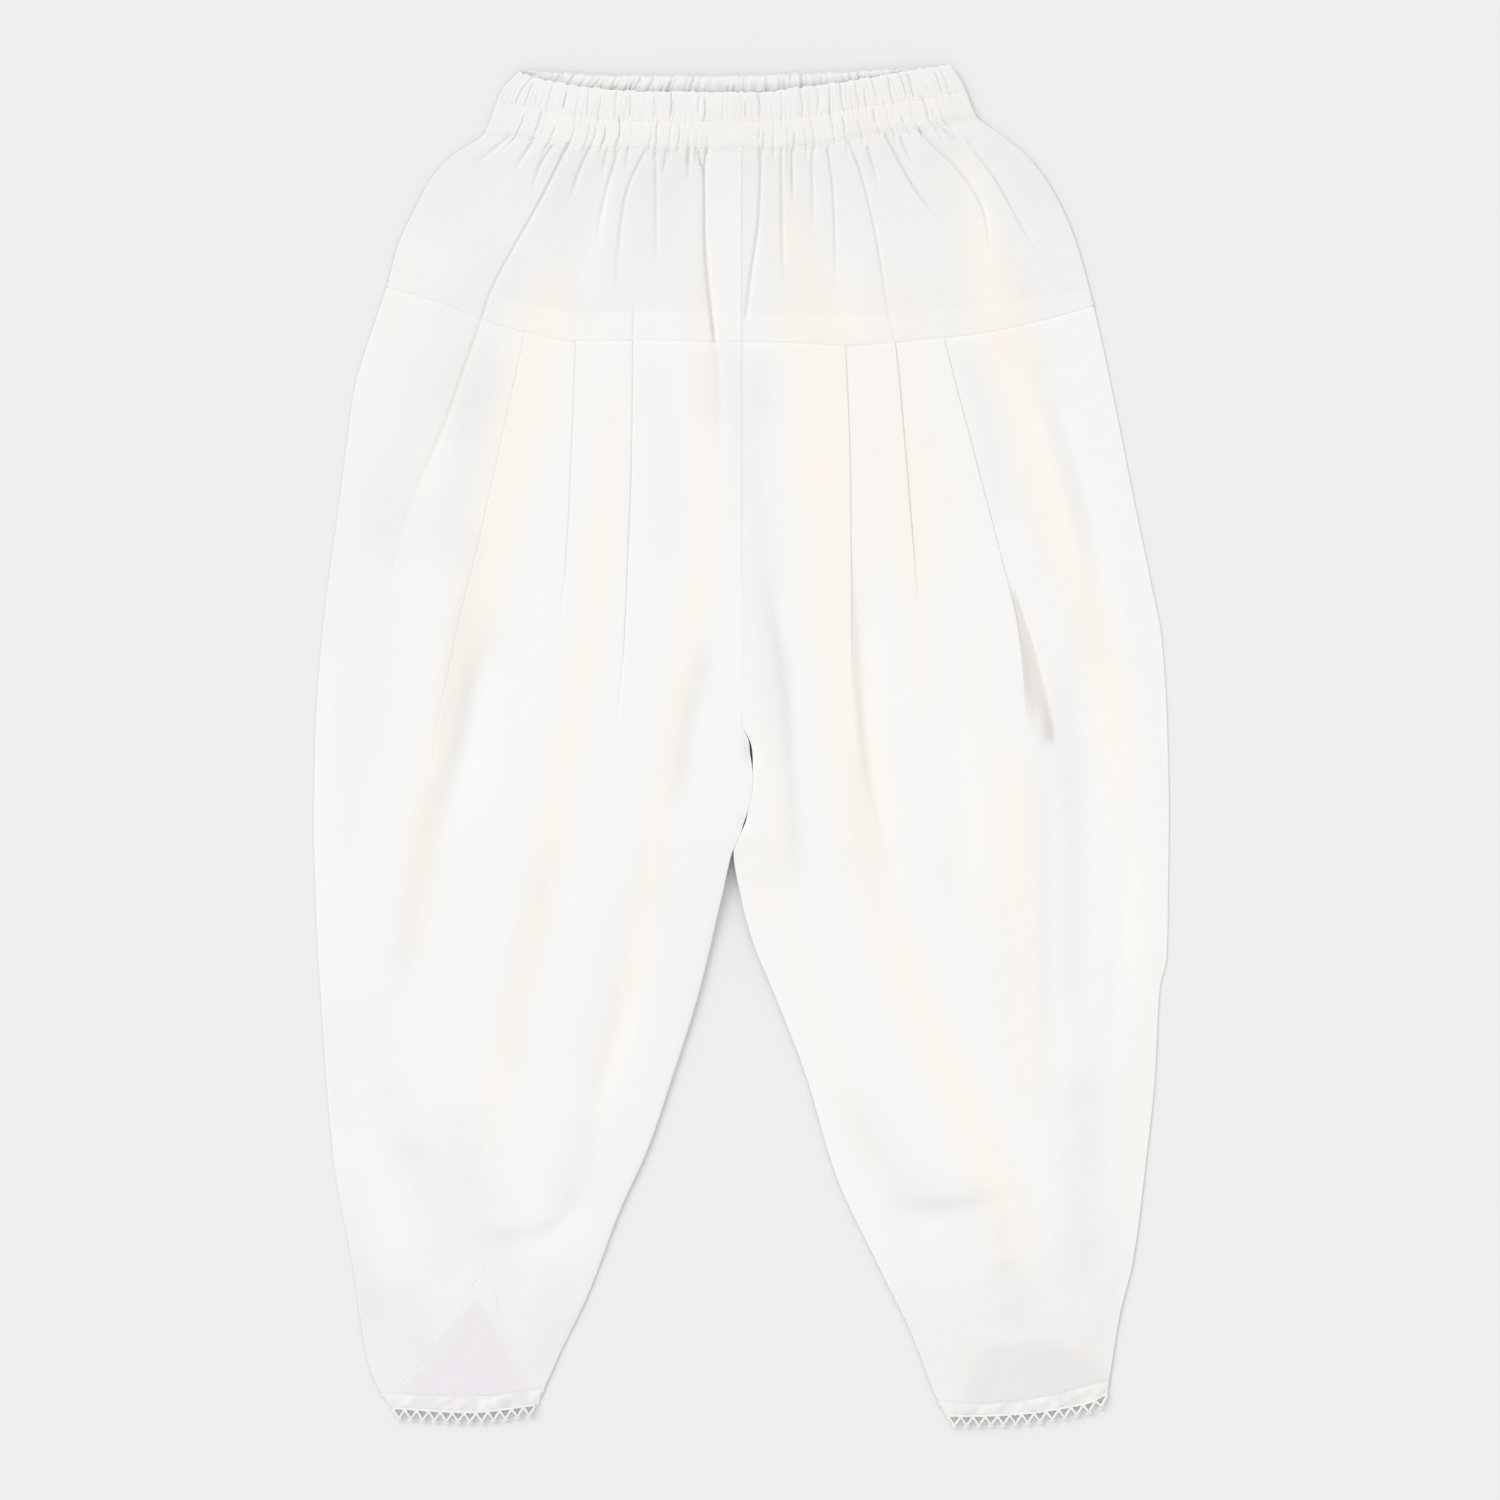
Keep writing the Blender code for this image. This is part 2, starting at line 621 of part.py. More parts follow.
def make_backs(collection):
    """The backs rest flat on the surface under the fronts, a little inside the rolled sides."""
    inset = 0.8
    left, right = shifted(side_left, inset), shifted(side_right, -inset)
    seam_left, seam_right = (lambda down: -HALF_GAP), (lambda down: HALF_GAP)
    yoke_top, yoke_foot = moved(band_bottom, HALF_GAP), moved(yoke_seam, -HALF_GAP)
    leg_top = moved(yoke_seam, HALF_GAP)
    yoke_shares = even(5)
    leg_shares = [0.0, 0.12, 0.25, 0.33, 0.355, 0.39, 0.425, 0.46, 0.49, 0.53, 0.6, 0.68, 0.76]
    leg_shares += [0.84, 0.9, 0.95, 0.98, 1.0]
    foot_left, foot_right = moved(hem_top_left, -HALF_GAP), moved(hem_top_right, -HALF_GAP)
    fork_left, fork_right = fork_edge(inner_left, -1), fork_edge(inner_right, 1)
    for name, first, second, shares, top, foot, columns in (
        ("yoke_back_left", left, seam_left, yoke_shares, yoke_top, yoke_foot, 8),
        ("yoke_back_right", seam_right, right, yoke_shares, yoke_top, yoke_foot, 8),
        ("leg_back_left", left, fork_left, leg_shares, leg_top, foot_left, 8),
        ("leg_back_right", fork_right, right, leg_shares, leg_top, foot_right, 8),
    ):
        lines = [first] + spread_lines(first, second, columns - 2) + [second]
        place = between_lines(lines, shares, top, foot)
        panel(name, collection, columns, len(shares), place, flat, CLOTH, WHITE_COTTON, True)


def hem_pucker(x, down):
    """The front hem's underside, with the small puckers that its stitching draws up."""
    return LAP + 0.35 + 0.35 * math.sin(x / 3.1) + 0.25 * math.sin(x / 1.9 + 1)


def make_hems(collection):
    shares = [0.0, 0.5, 1.0]
    for leg, side, inner, top, foot in (
        ("left", side_left, inner_left, hem_top_left, hem_foot_left),
        ("right", side_right, inner_right, hem_top_right, hem_foot_right),
    ):
        upper = moved(top, HALF_GAP)
        lower = moved(foot, -HALF_GAP)
        first, second = (side, inner) if leg == "left" else (inner, side)
        for layer, columns, underside, wall in (
            ("front", 21, hem_pucker, HEM_WALL),
            ("back", 10, flat, CLOTH),
        ):
            lines = [first] + spread_lines(first, second, columns - 2) + [second]
            place = between_lines(lines, shares, upper, lower)
            name = f"hem_{layer}_{leg}"
            panel(name, collection, columns, 3, place, underside, wall, WHITE_COTTON, True)


def lace_outline(foot, start, end, count):
    """A crochet edging's outer line: straight along the hem, a small picot below each gap's point."""
    pitch = (end - start) / count
    bottom = HOLE_HEIGHT + CORD
    along_hem = [(start + pitch * i / 2, 0.0) for i in range(2 * count + 1)]
    edge = []
    for i in range(count):
        middle = end - pitch * (i + 0.5)
        edge.append((middle + pitch / 2, bottom))
        edge.append((middle + PICOT_WIDTH / 2 + PICOT_FLARE, bottom))
        edge.append((middle + PICOT_WIDTH / 2, LACE_DEPTH))
        edge.append((middle - PICOT_WIDTH / 2, LACE_DEPTH))
        edge.append((middle - PICOT_WIDTH / 2 - PICOT_FLARE, bottom))
    edge.append((start, bottom))
    return [(x, foot(x) + HALF_GAP + depth) for x, depth in along_hem + edge]


def lace_hole(foot, middle):
    """One gap: a triangle that points down, with a blunt point."""
    top, point = CORD * 0.7, CORD * 0.45
    corners = (
        (-HOLE_WIDTH / 2, top), (0.0, top), (HOLE_WIDTH / 2, top), (point, top + HOLE_HEIGHT),
        (-point, top + HOLE_HEIGHT),
    )
    return [(middle + x, foot(middle + x) + HALF_GAP + depth) for x, depth in corners]


def make_laces(collection):
    """The edgings, cut through between their cords. The front's gaps lie over the back's."""
    for leg, foot, start, end, count in (
        ("left", hem_foot_left, -174.0, -103.0, 12),
        ("right", hem_foot_right, 103.4, 182.8, 13),
    ):
        pitch = (end - start) / count
        outlines = [lace_outline(foot, start, end, count)]
        outlines += [lace_hole(foot, start + pitch * (i + 0.5)) for i in range(count)]
        for layer, low in (("front", LACE_WALL + SEAM_GAP), ("back", 0.0)):
            name = f"lace_{layer}_{leg}"
            curve = bpy.data.curves.new(name, "CURVE")
            curve.dimensions = "2D"
            curve.fill_mode = "BOTH"
            curve.extrude = LACE_WALL / 2 * MM
            for points in outlines:
                spline = curve.splines.new("POLY")
                spline.points.add(len(points) - 1)
                for point, (x, down) in zip(spline.points, points):
                    point.co = (x * MM, (TOP_Y - down) * MM, 0.0, 1.0)
                spline.use_cyclic_u = True
            item = new_object(name, curve, collection, WHITE_CROCHET, 0.85)
            item.location.z = (low + LACE_WALL / 2) * MM


def clear_scene():
    for item in list(bpy.data.objects):
        bpy.data.objects.remove(item, do_unlink=True)


def main():
    clear_scene()
    collection = bpy.data.collections.new("shalwar")
    bpy.context.scene.collection.children.link(collection)
    make_bands(collection)
    make_yoke_fronts(collection)
    make_leg_fronts(collection)
    make_backs(collection)
    make_hems(collection)
    make_laces(collection)


main()
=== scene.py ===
"""The looks of a child's white cotton shalwar that lies flat, front up, under soft studio light.

The cloth is thin shells on the solids' form, with the folds placed one by one. Left and right are as
seen from above. The tables give x from the centre front seam and "down", the distance below the
waistband's highest point, both in millimetres on the garment as it lies. Z is up from the floor.
"""

import math
from collections import namedtuple

import bpy
import numpy as np
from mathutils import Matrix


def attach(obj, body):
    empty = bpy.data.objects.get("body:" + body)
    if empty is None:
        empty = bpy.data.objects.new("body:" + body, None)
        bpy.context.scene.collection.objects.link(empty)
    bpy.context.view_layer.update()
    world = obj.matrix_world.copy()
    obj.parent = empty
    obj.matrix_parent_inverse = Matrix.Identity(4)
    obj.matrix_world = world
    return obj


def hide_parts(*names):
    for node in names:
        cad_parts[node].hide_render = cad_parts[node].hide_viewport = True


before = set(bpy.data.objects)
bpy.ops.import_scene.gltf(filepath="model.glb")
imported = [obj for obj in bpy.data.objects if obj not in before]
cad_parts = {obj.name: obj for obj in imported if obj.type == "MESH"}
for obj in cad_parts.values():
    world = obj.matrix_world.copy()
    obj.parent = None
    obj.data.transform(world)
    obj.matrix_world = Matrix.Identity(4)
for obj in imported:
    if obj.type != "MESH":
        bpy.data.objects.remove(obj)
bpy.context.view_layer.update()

MM = 0.001
TOP_Y = 340.5  # the frame's y of the waistband's highest point, in millimetres
SETTLE_PASSES = 14

# How the cloth lies, in millimetres
BACK_Z = 0.25  # the back's outer face over the floor
FRONT_BASE = 2.4  # the front over the floor, before its loft
LOWEST_FRONT = 0.62
FOLD_DROP = 0.25  # a folded side below the front beside it
FOLD_RADIUS = 0.7
ARCH = 70.0  # how far in from the sides the front goes on rising
INNER_ARCH = 40.0  # and from the inner edges
CRUMPLE = 0.28  # the front's faint unevenness
BACK_CRUMPLE = 0.12
FORK_START = 305
FORK_END = 345
SLIT_DROP = 2.2  # the inner edges where they gape at the fork
INNER_TAPER = {"left": 0.45, "right": 0.0}  # how much flatter the inner edges lie below the fork
UPPER_SLIT = 343.5  # the middles of two places where the inner edges gape, as down
LOWER_SLIT = 378.5
LEGS_PART = (360, 398)  # where the inner edges part, as down
ANKLE = (555, 655)  # where the cloth gets darker down to the hem, as down
DOUBLED_CENTRE = 12.5  # how far to the left of the centre seam the legs are double
CENTRE_ALLOWANCE = 17.8  # and the yoke
SEAM_RIDGE = 0.22
SEAM_DITCH = 0.12
ALLOWANCE_STEP = 0.1

# The pleats, in millimetres
PLEAT_OVERLAP = 1.7  # how far the top layer is drawn over the one beside it
PLEAT_TURN = 1.1  # half the width of the edge's turn
PLEAT_SPREAD = 24.0  # how far in from its edge the top layer comes down again
PLEAT_DIP = 0.6  # the dip in the cloth beside the edge
MOUTH_DEPTH = 1.8

# The casing, in millimetres
BAND_WIDTH = 240.0  # along its middle stitch row
BAND_MEAN_WIDTH = 228.0
BAND_MIDDLE = 22.0  # its middle stitch row, as down
BAND_SLANT = 45.0  # how far in from its ends the gathers slant as the ends do
BAND_RAISE = 0.5
BAND_PUFF = 0.3  # how far its two channels stand out
BAND_GATHER = 0.95
BAND_BASTING = 1.6  # the lower stitch row above the casing's foot
BACK_TOP_Z = 4.0  # the back's top edge
BACK_INSIDE_Z = 3.3  # the back's inner face below that edge
BAND_INSET = 1.7  # how much narrower the inner faces are at each end
BAND_THICKNESS = 0.9  # from the front's body down to its inner face
BAND_EDGE_BULGE = (1.3, 0.7)  # how far the top edge rounds out, and how much that varies
BACK_GATHER_DEPTH = 1.2

# The hems: their width in millimetres, and the rows of their outer face as shares of its height
HEM_WIDTH = 76.0
HEM_ROWS = (0.0, 0.06, 0.13, 0.22, 0.33, 0.45, 0.57, 0.68, 0.78, 0.86, 0.92, 0.97, 1.0)

# The edging, in millimetres: start, end and number of its points, and the z of its two layers
LACE_RUNS = {"left": (-174.0, -103.0, 12), "right": (103.4, 182.8, 13)}
LACE_LEVELS = (1.95, 1.24)
LACE_DEPTH = 4.6
CORD_RADIUS = 0.6
CHAIN_RADIUS = 0.55
CORD_TWIST = 0.9  # the length of one turn of its threads
CHAIN_TWIST = 0.95
PICOT_TWIST = 0.8
PICOT_WIDTH = 1.05  # half of it
PICOT_DEPTH = 0.9
HIGH_KNOT = (0.2, 1.7, 0.6)  # its start and end below the hem's foot, and its radius
LOW_KNOT = (4.0, 5.2, 1.0)

# Stitches, in millimetres
STITCH_LENGTH = 1.75
STITCH_RADIUS = 0.17
STITCH_TWIST = 0.6
STITCH_RISE = 0.12  # its middle over the cloth
STITCH_DIP = 0.32  # from its middle down to its ends
BAND_STITCH_PITCH = 2.6
ANKLE_STITCH_PITCH = 2.4

# Numbers of columns and rows
LEG_FILLS = (8, 16, 24, 16, 26, 20)  # between the leg's lines, from its inner edge out to the side
LEG_ROWS = 330
LEG_BACK_COLUMNS = 52
YOKE_COLUMNS = 350
YOKE_BACK_COLUMNS = 80
YOKE_ROWS = 140
BAND_COLUMNS = 888
HEM_COLUMNS = 170
HEM_BACK_COLUMNS = 60

# Light, the camera's place and its lens
FILL_STRENGTH = 0.905
KEY_STRENGTH = 0.94
KEY_ANGLE = 36.0
KEY_TILT = (-33.0, -46.0)
CAMERA_PLACE = (0.00425, -0.002, 1.875)
CAMERA_LENS = 90.0
CAMERA_SENSOR = 36.0
FLOOR_REACH = 3.0

# Colours
FLOOR_COLOUR = (0.80, 0.80, 0.80, 1.0)
COTTON = (0.858, 0.857, 0.857, 1.0)
CASING = (0.865, 0.863, 0.862, 1.0)
CROCHET = {"left": (0.845, 0.825, 0.86, 1.0), "right": (0.835, 0.835, 0.825, 1.0)}
THREAD = (0.88, 0.88, 0.87, 1.0)
SHEEN = 0.1
SHEEN_ROUGHNESS = 0.6
CLOTH_SPECULAR = 0.15
FLOOR_ROUGHNESS = 0.95
FLOOR_SPECULAR = 0.1
# The cream tint, which partly carries painted warm light and the warm tinge of painted shade
WARM_TINT = (1.04, 0.988, 0.915, 1.0)
LILAC_TINT = (0.99, 0.955, 1.0, 1.0)

# The scales of the noise in the cloth, and how slowly it changes along a thread
THREAD_SCALE = 900.0
THREAD_STRETCH = 0.12
SLUB_SCALE = 160.0
CLOUD_SCALE = 22.0

# Tones are added, paler above 0, and painted shades are taken off, in steps of the gain below; the layers
# mask carries them all, painted shade and painted light among them
TONE_GAIN = 0.04
# The yoke's tone below is painted shade; the strips over the allowances and beside the centre are less
# darkened
YOKE_PAINTED_SHADE = -1.1
STRIP_TONE = -0.35
CENTRE_TONE = -0.45
DOUBLED_CENTRE_TONE = -0.9
BAND_TONE = -1.2
# Painted light that makes the inside of the back paler
INSIDE_PAINTED_LIGHT = 0.9
HEM_TONES = {"left": -1.6, "right": -1.8}
ANKLE_TONES = {"left": -1.4, "right": -1.6}
PATCH_TONES = {"left": -1.8, "right": -2.9}
# Painted shade: in the pleat's mouth, the creases' bottoms, the casing's gathers and left end, inside the
# back, on its top rim, along the centre seam and just below the band
MOUTH_SHADE = 5.2
CORE_SHADE = 1.1
GATHER_SHADE = 1.5
BAND_END_SHADE = 0.8
INSIDE_SHADE = 3.4
INSIDE_GATHER_SHADES = (1.6, 3.8)
RIM_SHADE = 2.6
SEAM_SHADE = 1.2
BELOW_BAND_SHADE = 0.8

# Shares of the cream and lilac casts
# The warm tinge of the painted shade in the pleat's mouth
MOUTH_SHADE_WARMTH = 0.42
STRIP_WARMTH = 0.15
HEM_WARMTH = {"left": 0.15, "right": 0.25}
HEM_LILAC = {"left": 0.25, "right": 0.0}
PATCH_LILAC = {"left": 1.15, "right": 0.0}
MOST_WARMTH = 1.3

# Places where the cloth is lifted: x, down, spreads and rise
LIFTS = (
    (140, 62, 60, 75, 2.0), (-160, 90, 40, 60, 1.0), (150, 640, 40, 45, 2.4), (-150, 640, 40, 40, 1.0),
)

# Outlines: (down, x)
SIDE_LEFT = (
    (2.5, -109.8), (12.5, -119.3), (34.5, -128.7), (46, -145), (58, -155.5), (75, -164.5),
    (90, -171.5), (110, -177), (137, -186), (160, -193), (215, -200.5), (285, -209.5),
    (335, -213), (380, -213.75), (420, -212.7), (470, -210), (550, -203.5), (597, -194.8),
    (650, -186.2), (664, -180), (672, -174.2),
)
SIDE_RIGHT = (
    (0, 104.3), (10, 110.7), (27, 118.3), (35, 129.3), (47.5, 144.3), (62.5, 155.3),
    (87.5, 166.8), (117.5, 175.3), (167.5, 186.3), (217.5, 196.3), (258.5, 204.8), (288, 210.3),
    (329, 212.9), (372, 213.75), (418, 213.3), (446, 212.7), (461, 209.3), (507, 206.7),
    (548, 202.3), (598, 195.7), (624, 189.3), (648, 185.3), (664, 183.2), (676, 182.6),
)
INNER_LEFT = (
    (0, 0), (328, 0), (340, 4.4), (358, 5.7), (373, 3.2), (388, -1.9), (393, -4.4), (417, -10),
    (464, -21.3), (507, -34.8), (542, -46.8), (573, -60.8), (614, -76.3), (650, -93.3),
    (667, -100.3), (676, -102.5),
)
INNER_RIGHT = (
    (0, 0), (328, 0), (340, 4.4), (358, 5.7), (373, 3.2), (388, -1.9), (393, -4.0), (414, -0.7),
    (437, 5.3), (464, 16.3), (504, 31.8), (555, 47.3), (600, 68.3), (635, 85.3), (666, 97.3),
    (677, 103),
)

# Edges across the garment: (x, down)
BAND_TOP_FRONT = (
    (-112, 3.0), (-96, 8), (-75, 11.5), (-46, 14), (-18, 14.3), (8, 14.5), (32, 11.5),
    (54, 8.5), (75, 5), (88, 2.4), (97, 0.8), (104.3, 0),
)
BAND_TOP_BACK = (
    (-112, 2.5), (-87, 3.7), (-66, 4.5), (-18, 5), (32, 3.8), (60, 2.7), (88, 1.6), (104.3, 0),
)
BAND_BOTTOM = (
    (-129, 34.5), (-104, 38), (-79, 42.5), (-63, 43.7), (-18, 44), (10, 43.7), (34, 42),
    (54, 37.5), (69, 34.8), (88, 33.3), (106, 29), (118.3, 27),
)
YOKE_SEAM = (
    (-178, 111), (-148, 120.5), (-129, 128), (-107, 134.5), (-82, 139), (-54, 138.6), (0, 139.5),
    (30, 140), (51, 141.3), (77, 139.6), (102, 137), (116, 135.5), (141, 130.5), (179, 120),
)
HEM_TOP_LEFT = ((-180, 663.5), (-174, 664.3), (-136, 665.5), (-106, 662.7), (-98, 661.3))
HEM_FOOT_LEFT = ((-174.5, 671.5), (-136, 673.5), (-102.5, 669.8))
HEM_TOP_RIGHT = (
    (98, 668), (121, 669.3), (132, 668.5), (143, 667), (158, 664.3), (171, 660.7), (184, 657.3),
)
HEM_FOOT_RIGHT = (
    (102.7, 675.4), (115, 675.4), (132, 674.8), (149, 673.3), (161, 671.3), (173, 668.8),
    (183, 664),
)

# How far the front stands up over the back between its edges, by the distance down
LOFT = (
    (0, 7.0), (27, 7.2), (44, 7.0), (90, 6.4), (140, 6.2), (240, 6.2), (340, 7.0), (400, 7.0), (500, 5.8),
    (600, 4.6), (645, 3.2), (664, 1.8), (690, 1.2),
)

# The front's height at its folded sides and inner edges, by the distance down
HEIGHT_LEFT = (
    (0, 2.2), (60, 1.6), (130, 1.0), (180, 0.7), (300, 0.62), (560, 0.62), (640, 0.85), (690, 1.1),
)
HEIGHT_RIGHT = (
    (0, 2.4), (30, 2.0), (60, 1.5), (100, 1.0), (130, 0.8), (165, 0.65), (200, 0.6), (420, 0.6),
    (500, 0.7), (560, 0.9), (620, 1.2), (690, 1.4),
)
HEIGHT_INNER_LEFT = (
    (360, 9.4), (384, 8.8), (398, 7.2), (415, 5.2), (440, 4.0), (480, 3.3), (540, 2.9), (600, 2.8),
    (650, 2.4), (690, 1.9),
)
HEIGHT_INNER_RIGHT = (
    (360, 9.4), (384, 8.8), (398, 7.2), (415, 5.0), (440, 3.4), (480, 2.6), (540, 2.3), (600, 2.5),
    (650, 2.4), (690, 1.9),
)

# The height of the allowance that is pressed up above the yoke seam, by x
ALLOWANCE = (
    (-178, 8), (-148, 8), (-120, 13.5), (-54, 14.5), (50, 14), (102, 14), (125, 13), (150, 11), (179, 8),
)

# The lines down each leg, as their x at these distances down
SECTION_DOWNS = (110, 139, 200, 240, 285, 335, 400, 470, 550, 600, 650, 672)
LEFT_SECTIONS = {
    "outer": (-124, -135.5, -157.5, -172.5, -180, -185, -188, -187, -184, -178, -172, -163),
    "pleat_1": (-102, -108.5, -122, -131, -142, -151.5, -157, -158, -160, -158, -156, -150),
    "pleat_2": (-82, -82.3, -84.5, -86.5, -90, -97, -110, -122, -131, -135, -139, -137),
    "pleat_3": (-54, -54.3, -55, -56.5, -58.5, -62.5, -71, -84, -101, -111, -122, -124),
    "centre": (-14, -14.5, -13, -15, -19.5, -25.5, -34, -47, -71, -88, -107, -113),
}
RIGHT_SECTIONS = {
    "centre": (14, 15, 15, 14.5, 19.5, 25, 27, 44, 68, 86, 105, 113),
    "pleat_3": (49, 51.3, 53.8, 54.3, 54.8, 57.5, 73, 82, 92, 104, 119, 125),
    "pleat_2": (73, 77.5, 83.2, 86.5, 91, 99, 111, 118, 122, 127, 135, 139),
    "pleat_1": (95, 102, 118, 128.5, 139, 144, 149, 152, 153.5, 150, 151, 153),
    "outer": (134, 144, 164, 175, 184, 191, 190, 186, 182, 174, 168, 168),
}

# Knife pleats: the line that each follows, how far down its edge runs, a shift of its edge, the step
# of its edge and the depth of the ditch beside it.
# The layer nearer the centre lies on top, so the edge faces the side of the garment.
PLEATS_LEFT = (
    ("pleat_1", 372, 0.0, 0.3, 0.5), ("pleat_2", 288, 0.0, 0.4, 0.75), ("pleat_3", 338, 0.6, 0.45, 1.0),
)
PLEATS_RIGHT = (
    ("pleat_1", 345, -0.8, 0.22, 0.2), ("pleat_2", 284, -1.0, 0.25, 0.2), ("pleat_3", 320, 0.0, 0.35, 0.15),
)

# The mouth of the outermost right pleat
MOUTH_LINE = ((133.8, 258), (139.2, 276), (143.4, 293.5), (147.2, 315), (149.8, 330), (151.0, 343))

# The ankles' single-layer patches: corners in (x, down) and the softness of their edges
PATCHES = {
    "left": (((-132, 616), (-104, 667), (-173, 667)), 3.0),
    "right": (((122, 640), (158, 638), (186, 655), (168, 672), (116, 678), (112, 658)), 5.5),
}

# The two seams above the left hem
PATCH_SEAMS = (
    ((-126, 595.5), (-136, 612.5), (-144, 628.5), (-156, 643.5), (-171, 659.5)),
    ((-124.5, 610), (-118.5, 632.5), (-108.5, 652.5), (-105, 660.5)),
)


# Creases: points in (x, down), from the waist down. depth is of the trough, left and right are its
# half widths on each side, widen grows them along its length, begins and ends are its strength there.
Crease = namedtuple("Crease", "depth left right widen begins ends points")
YOKE_CREASES = (
    Crease(0.8, 0.86, 0.86, 0.8, 1, 0.5, ((-115.5, 36), (-130, 48))),
    Crease(1, 0.72, 0.72, 0.8, 1, 0.5, ((-103, 37.5), (-112, 51.5))),
    Crease(1, 0.67, 0.67, 0.8, 1, 0.5, ((-94.5, 41.5), (-100, 50.5), (-103.5, 60.5))),
    Crease(0.65, 0.51, 0.86, 0.5, 1.6, 0.4, (
        (-86.5, 40), (-99.5, 67), (-122.5, 108.5), (-130.5, 130), (-146.5, 175.5), (-156, 198),
        (-166.5, 222.5), (-175, 255),
    )),
    Crease(0.9, 0.67, 0.86, 0.8, 1, 0, ((-75.5, 41.5), (-81, 55), (-86.5, 72))),
    Crease(0.7, 0.62, 0.62, 0.8, 1, 0.4, ((-67, 43.5), (-69, 55))),
    Crease(0.75, 0.62, 0.86, 1.0, 1.2, 0, ((-61.5, 44), (-69, 71), (-73, 96.5))),
    Crease(0.7, 0.62, 0.94, 0.8, 1.2, 0.3, ((-48, 44), (-57, 64.5), (-61, 91), (-62.5, 115))),
    Crease(0.8, 0.78, 0.78, 0.8, 1, 0.6, ((-42.5, 45), (-42, 95))),
    Crease(0.9, 0.57, 0.57, 0.6, 1, 0.4, ((-37.5, 44), (-38.5, 55.5))),
    Crease(1.2, 0.62, 0.62, 0.6, 1, 0.4, ((-26, 42.5), (-26.5, 57.5))),
    Crease(1.0, 0.66, 0.58, 0.2, 0, 1.0, ((-17, 87.5), (-16, 107.5), (-13, 139.5))),
    Crease(1.5, 0.7, 0.58, 0.2, 1, 1.0, (
        (-21.5, 45), (-20, 50.5), (-18.5, 56.5), (-18, 91), (-16.5, 112.5), (-13.5, 139.5),
    )),
    Crease(1.2, 0.62, 0.62, 0.2, 1, 0, ((-17, 42.5), (-18, 50), (-18.5, 58.5))),
    Crease(0.7, 1.56, 2.03, 0.8, 1, 0, ((-13, 139.5), (-11.5, 167.5), (-11.5, 202.5))),
    Crease(1.1, 0.62, 0.77, 0.6, 1, 0.8, ((10, 43.5), (9, 72.5), (8, 85), (5, 105), (2.5, 126.5))),
    Crease(0.9, 0.62, 0.77, 0.8, 1, 0, ((20, 43.5), (20.5, 88.5), (21.5, 117.5))),
    Crease(1.3, 0.62, 0.72, 0.8, 1, 0, ((25, 44), (26, 72.5))),
    Crease(0.7, 0.78, 0.78, 1.0, 1, 0, ((35.5, 43.5), (36, 87.5))),
    Crease(0.8, 0.62, 0.86, 0.6, 1.2, 0, ((43, 43), (46, 67), (47.5, 118))),
    Crease(0.75, 0.51, 0.94, 0.5, 1.3, 0.3, (
        (53.5, 40), (59, 53.5), (65.5, 79), (69.5, 100.5), (73, 123), (77, 139.5),
    )),
    Crease(1.0, 0.62, 0.62, 0.8, 1, 0.3, ((63, 42.5), (68.5, 61))),
    Crease(1.4, 0.57, 0.94, 0.8, 1, 0, ((72, 36.5), (87, 63), (103, 83))),
    Crease(1.0, 0.62, 0.62, 0.8, 1, 0.4, ((79.5, 37.5), (85, 49.5))),
    Crease(1.2, 0.51, 0.94, 0.8, 1, 0, (
        (88.5, 33.5), (96.5, 42), (108.5, 53.5), (120.5, 72.5), (124.5, 99),
    )),
    Crease(1, 0.67, 0.67, 0.8, 1, 0.5, ((101.5, 33.5), (110, 40))),
    Crease(0.5, 0.55, 0.55, 0.2, 0.4, 1, ((-53, 119), (-54, 139.5))),
    Crease(1.2, 0.67, 1.09, 0.6, 0.5, 0, ((113.5, 40), (127, 57.5), (140.5, 81.5), (152.5, 100.5))),
)
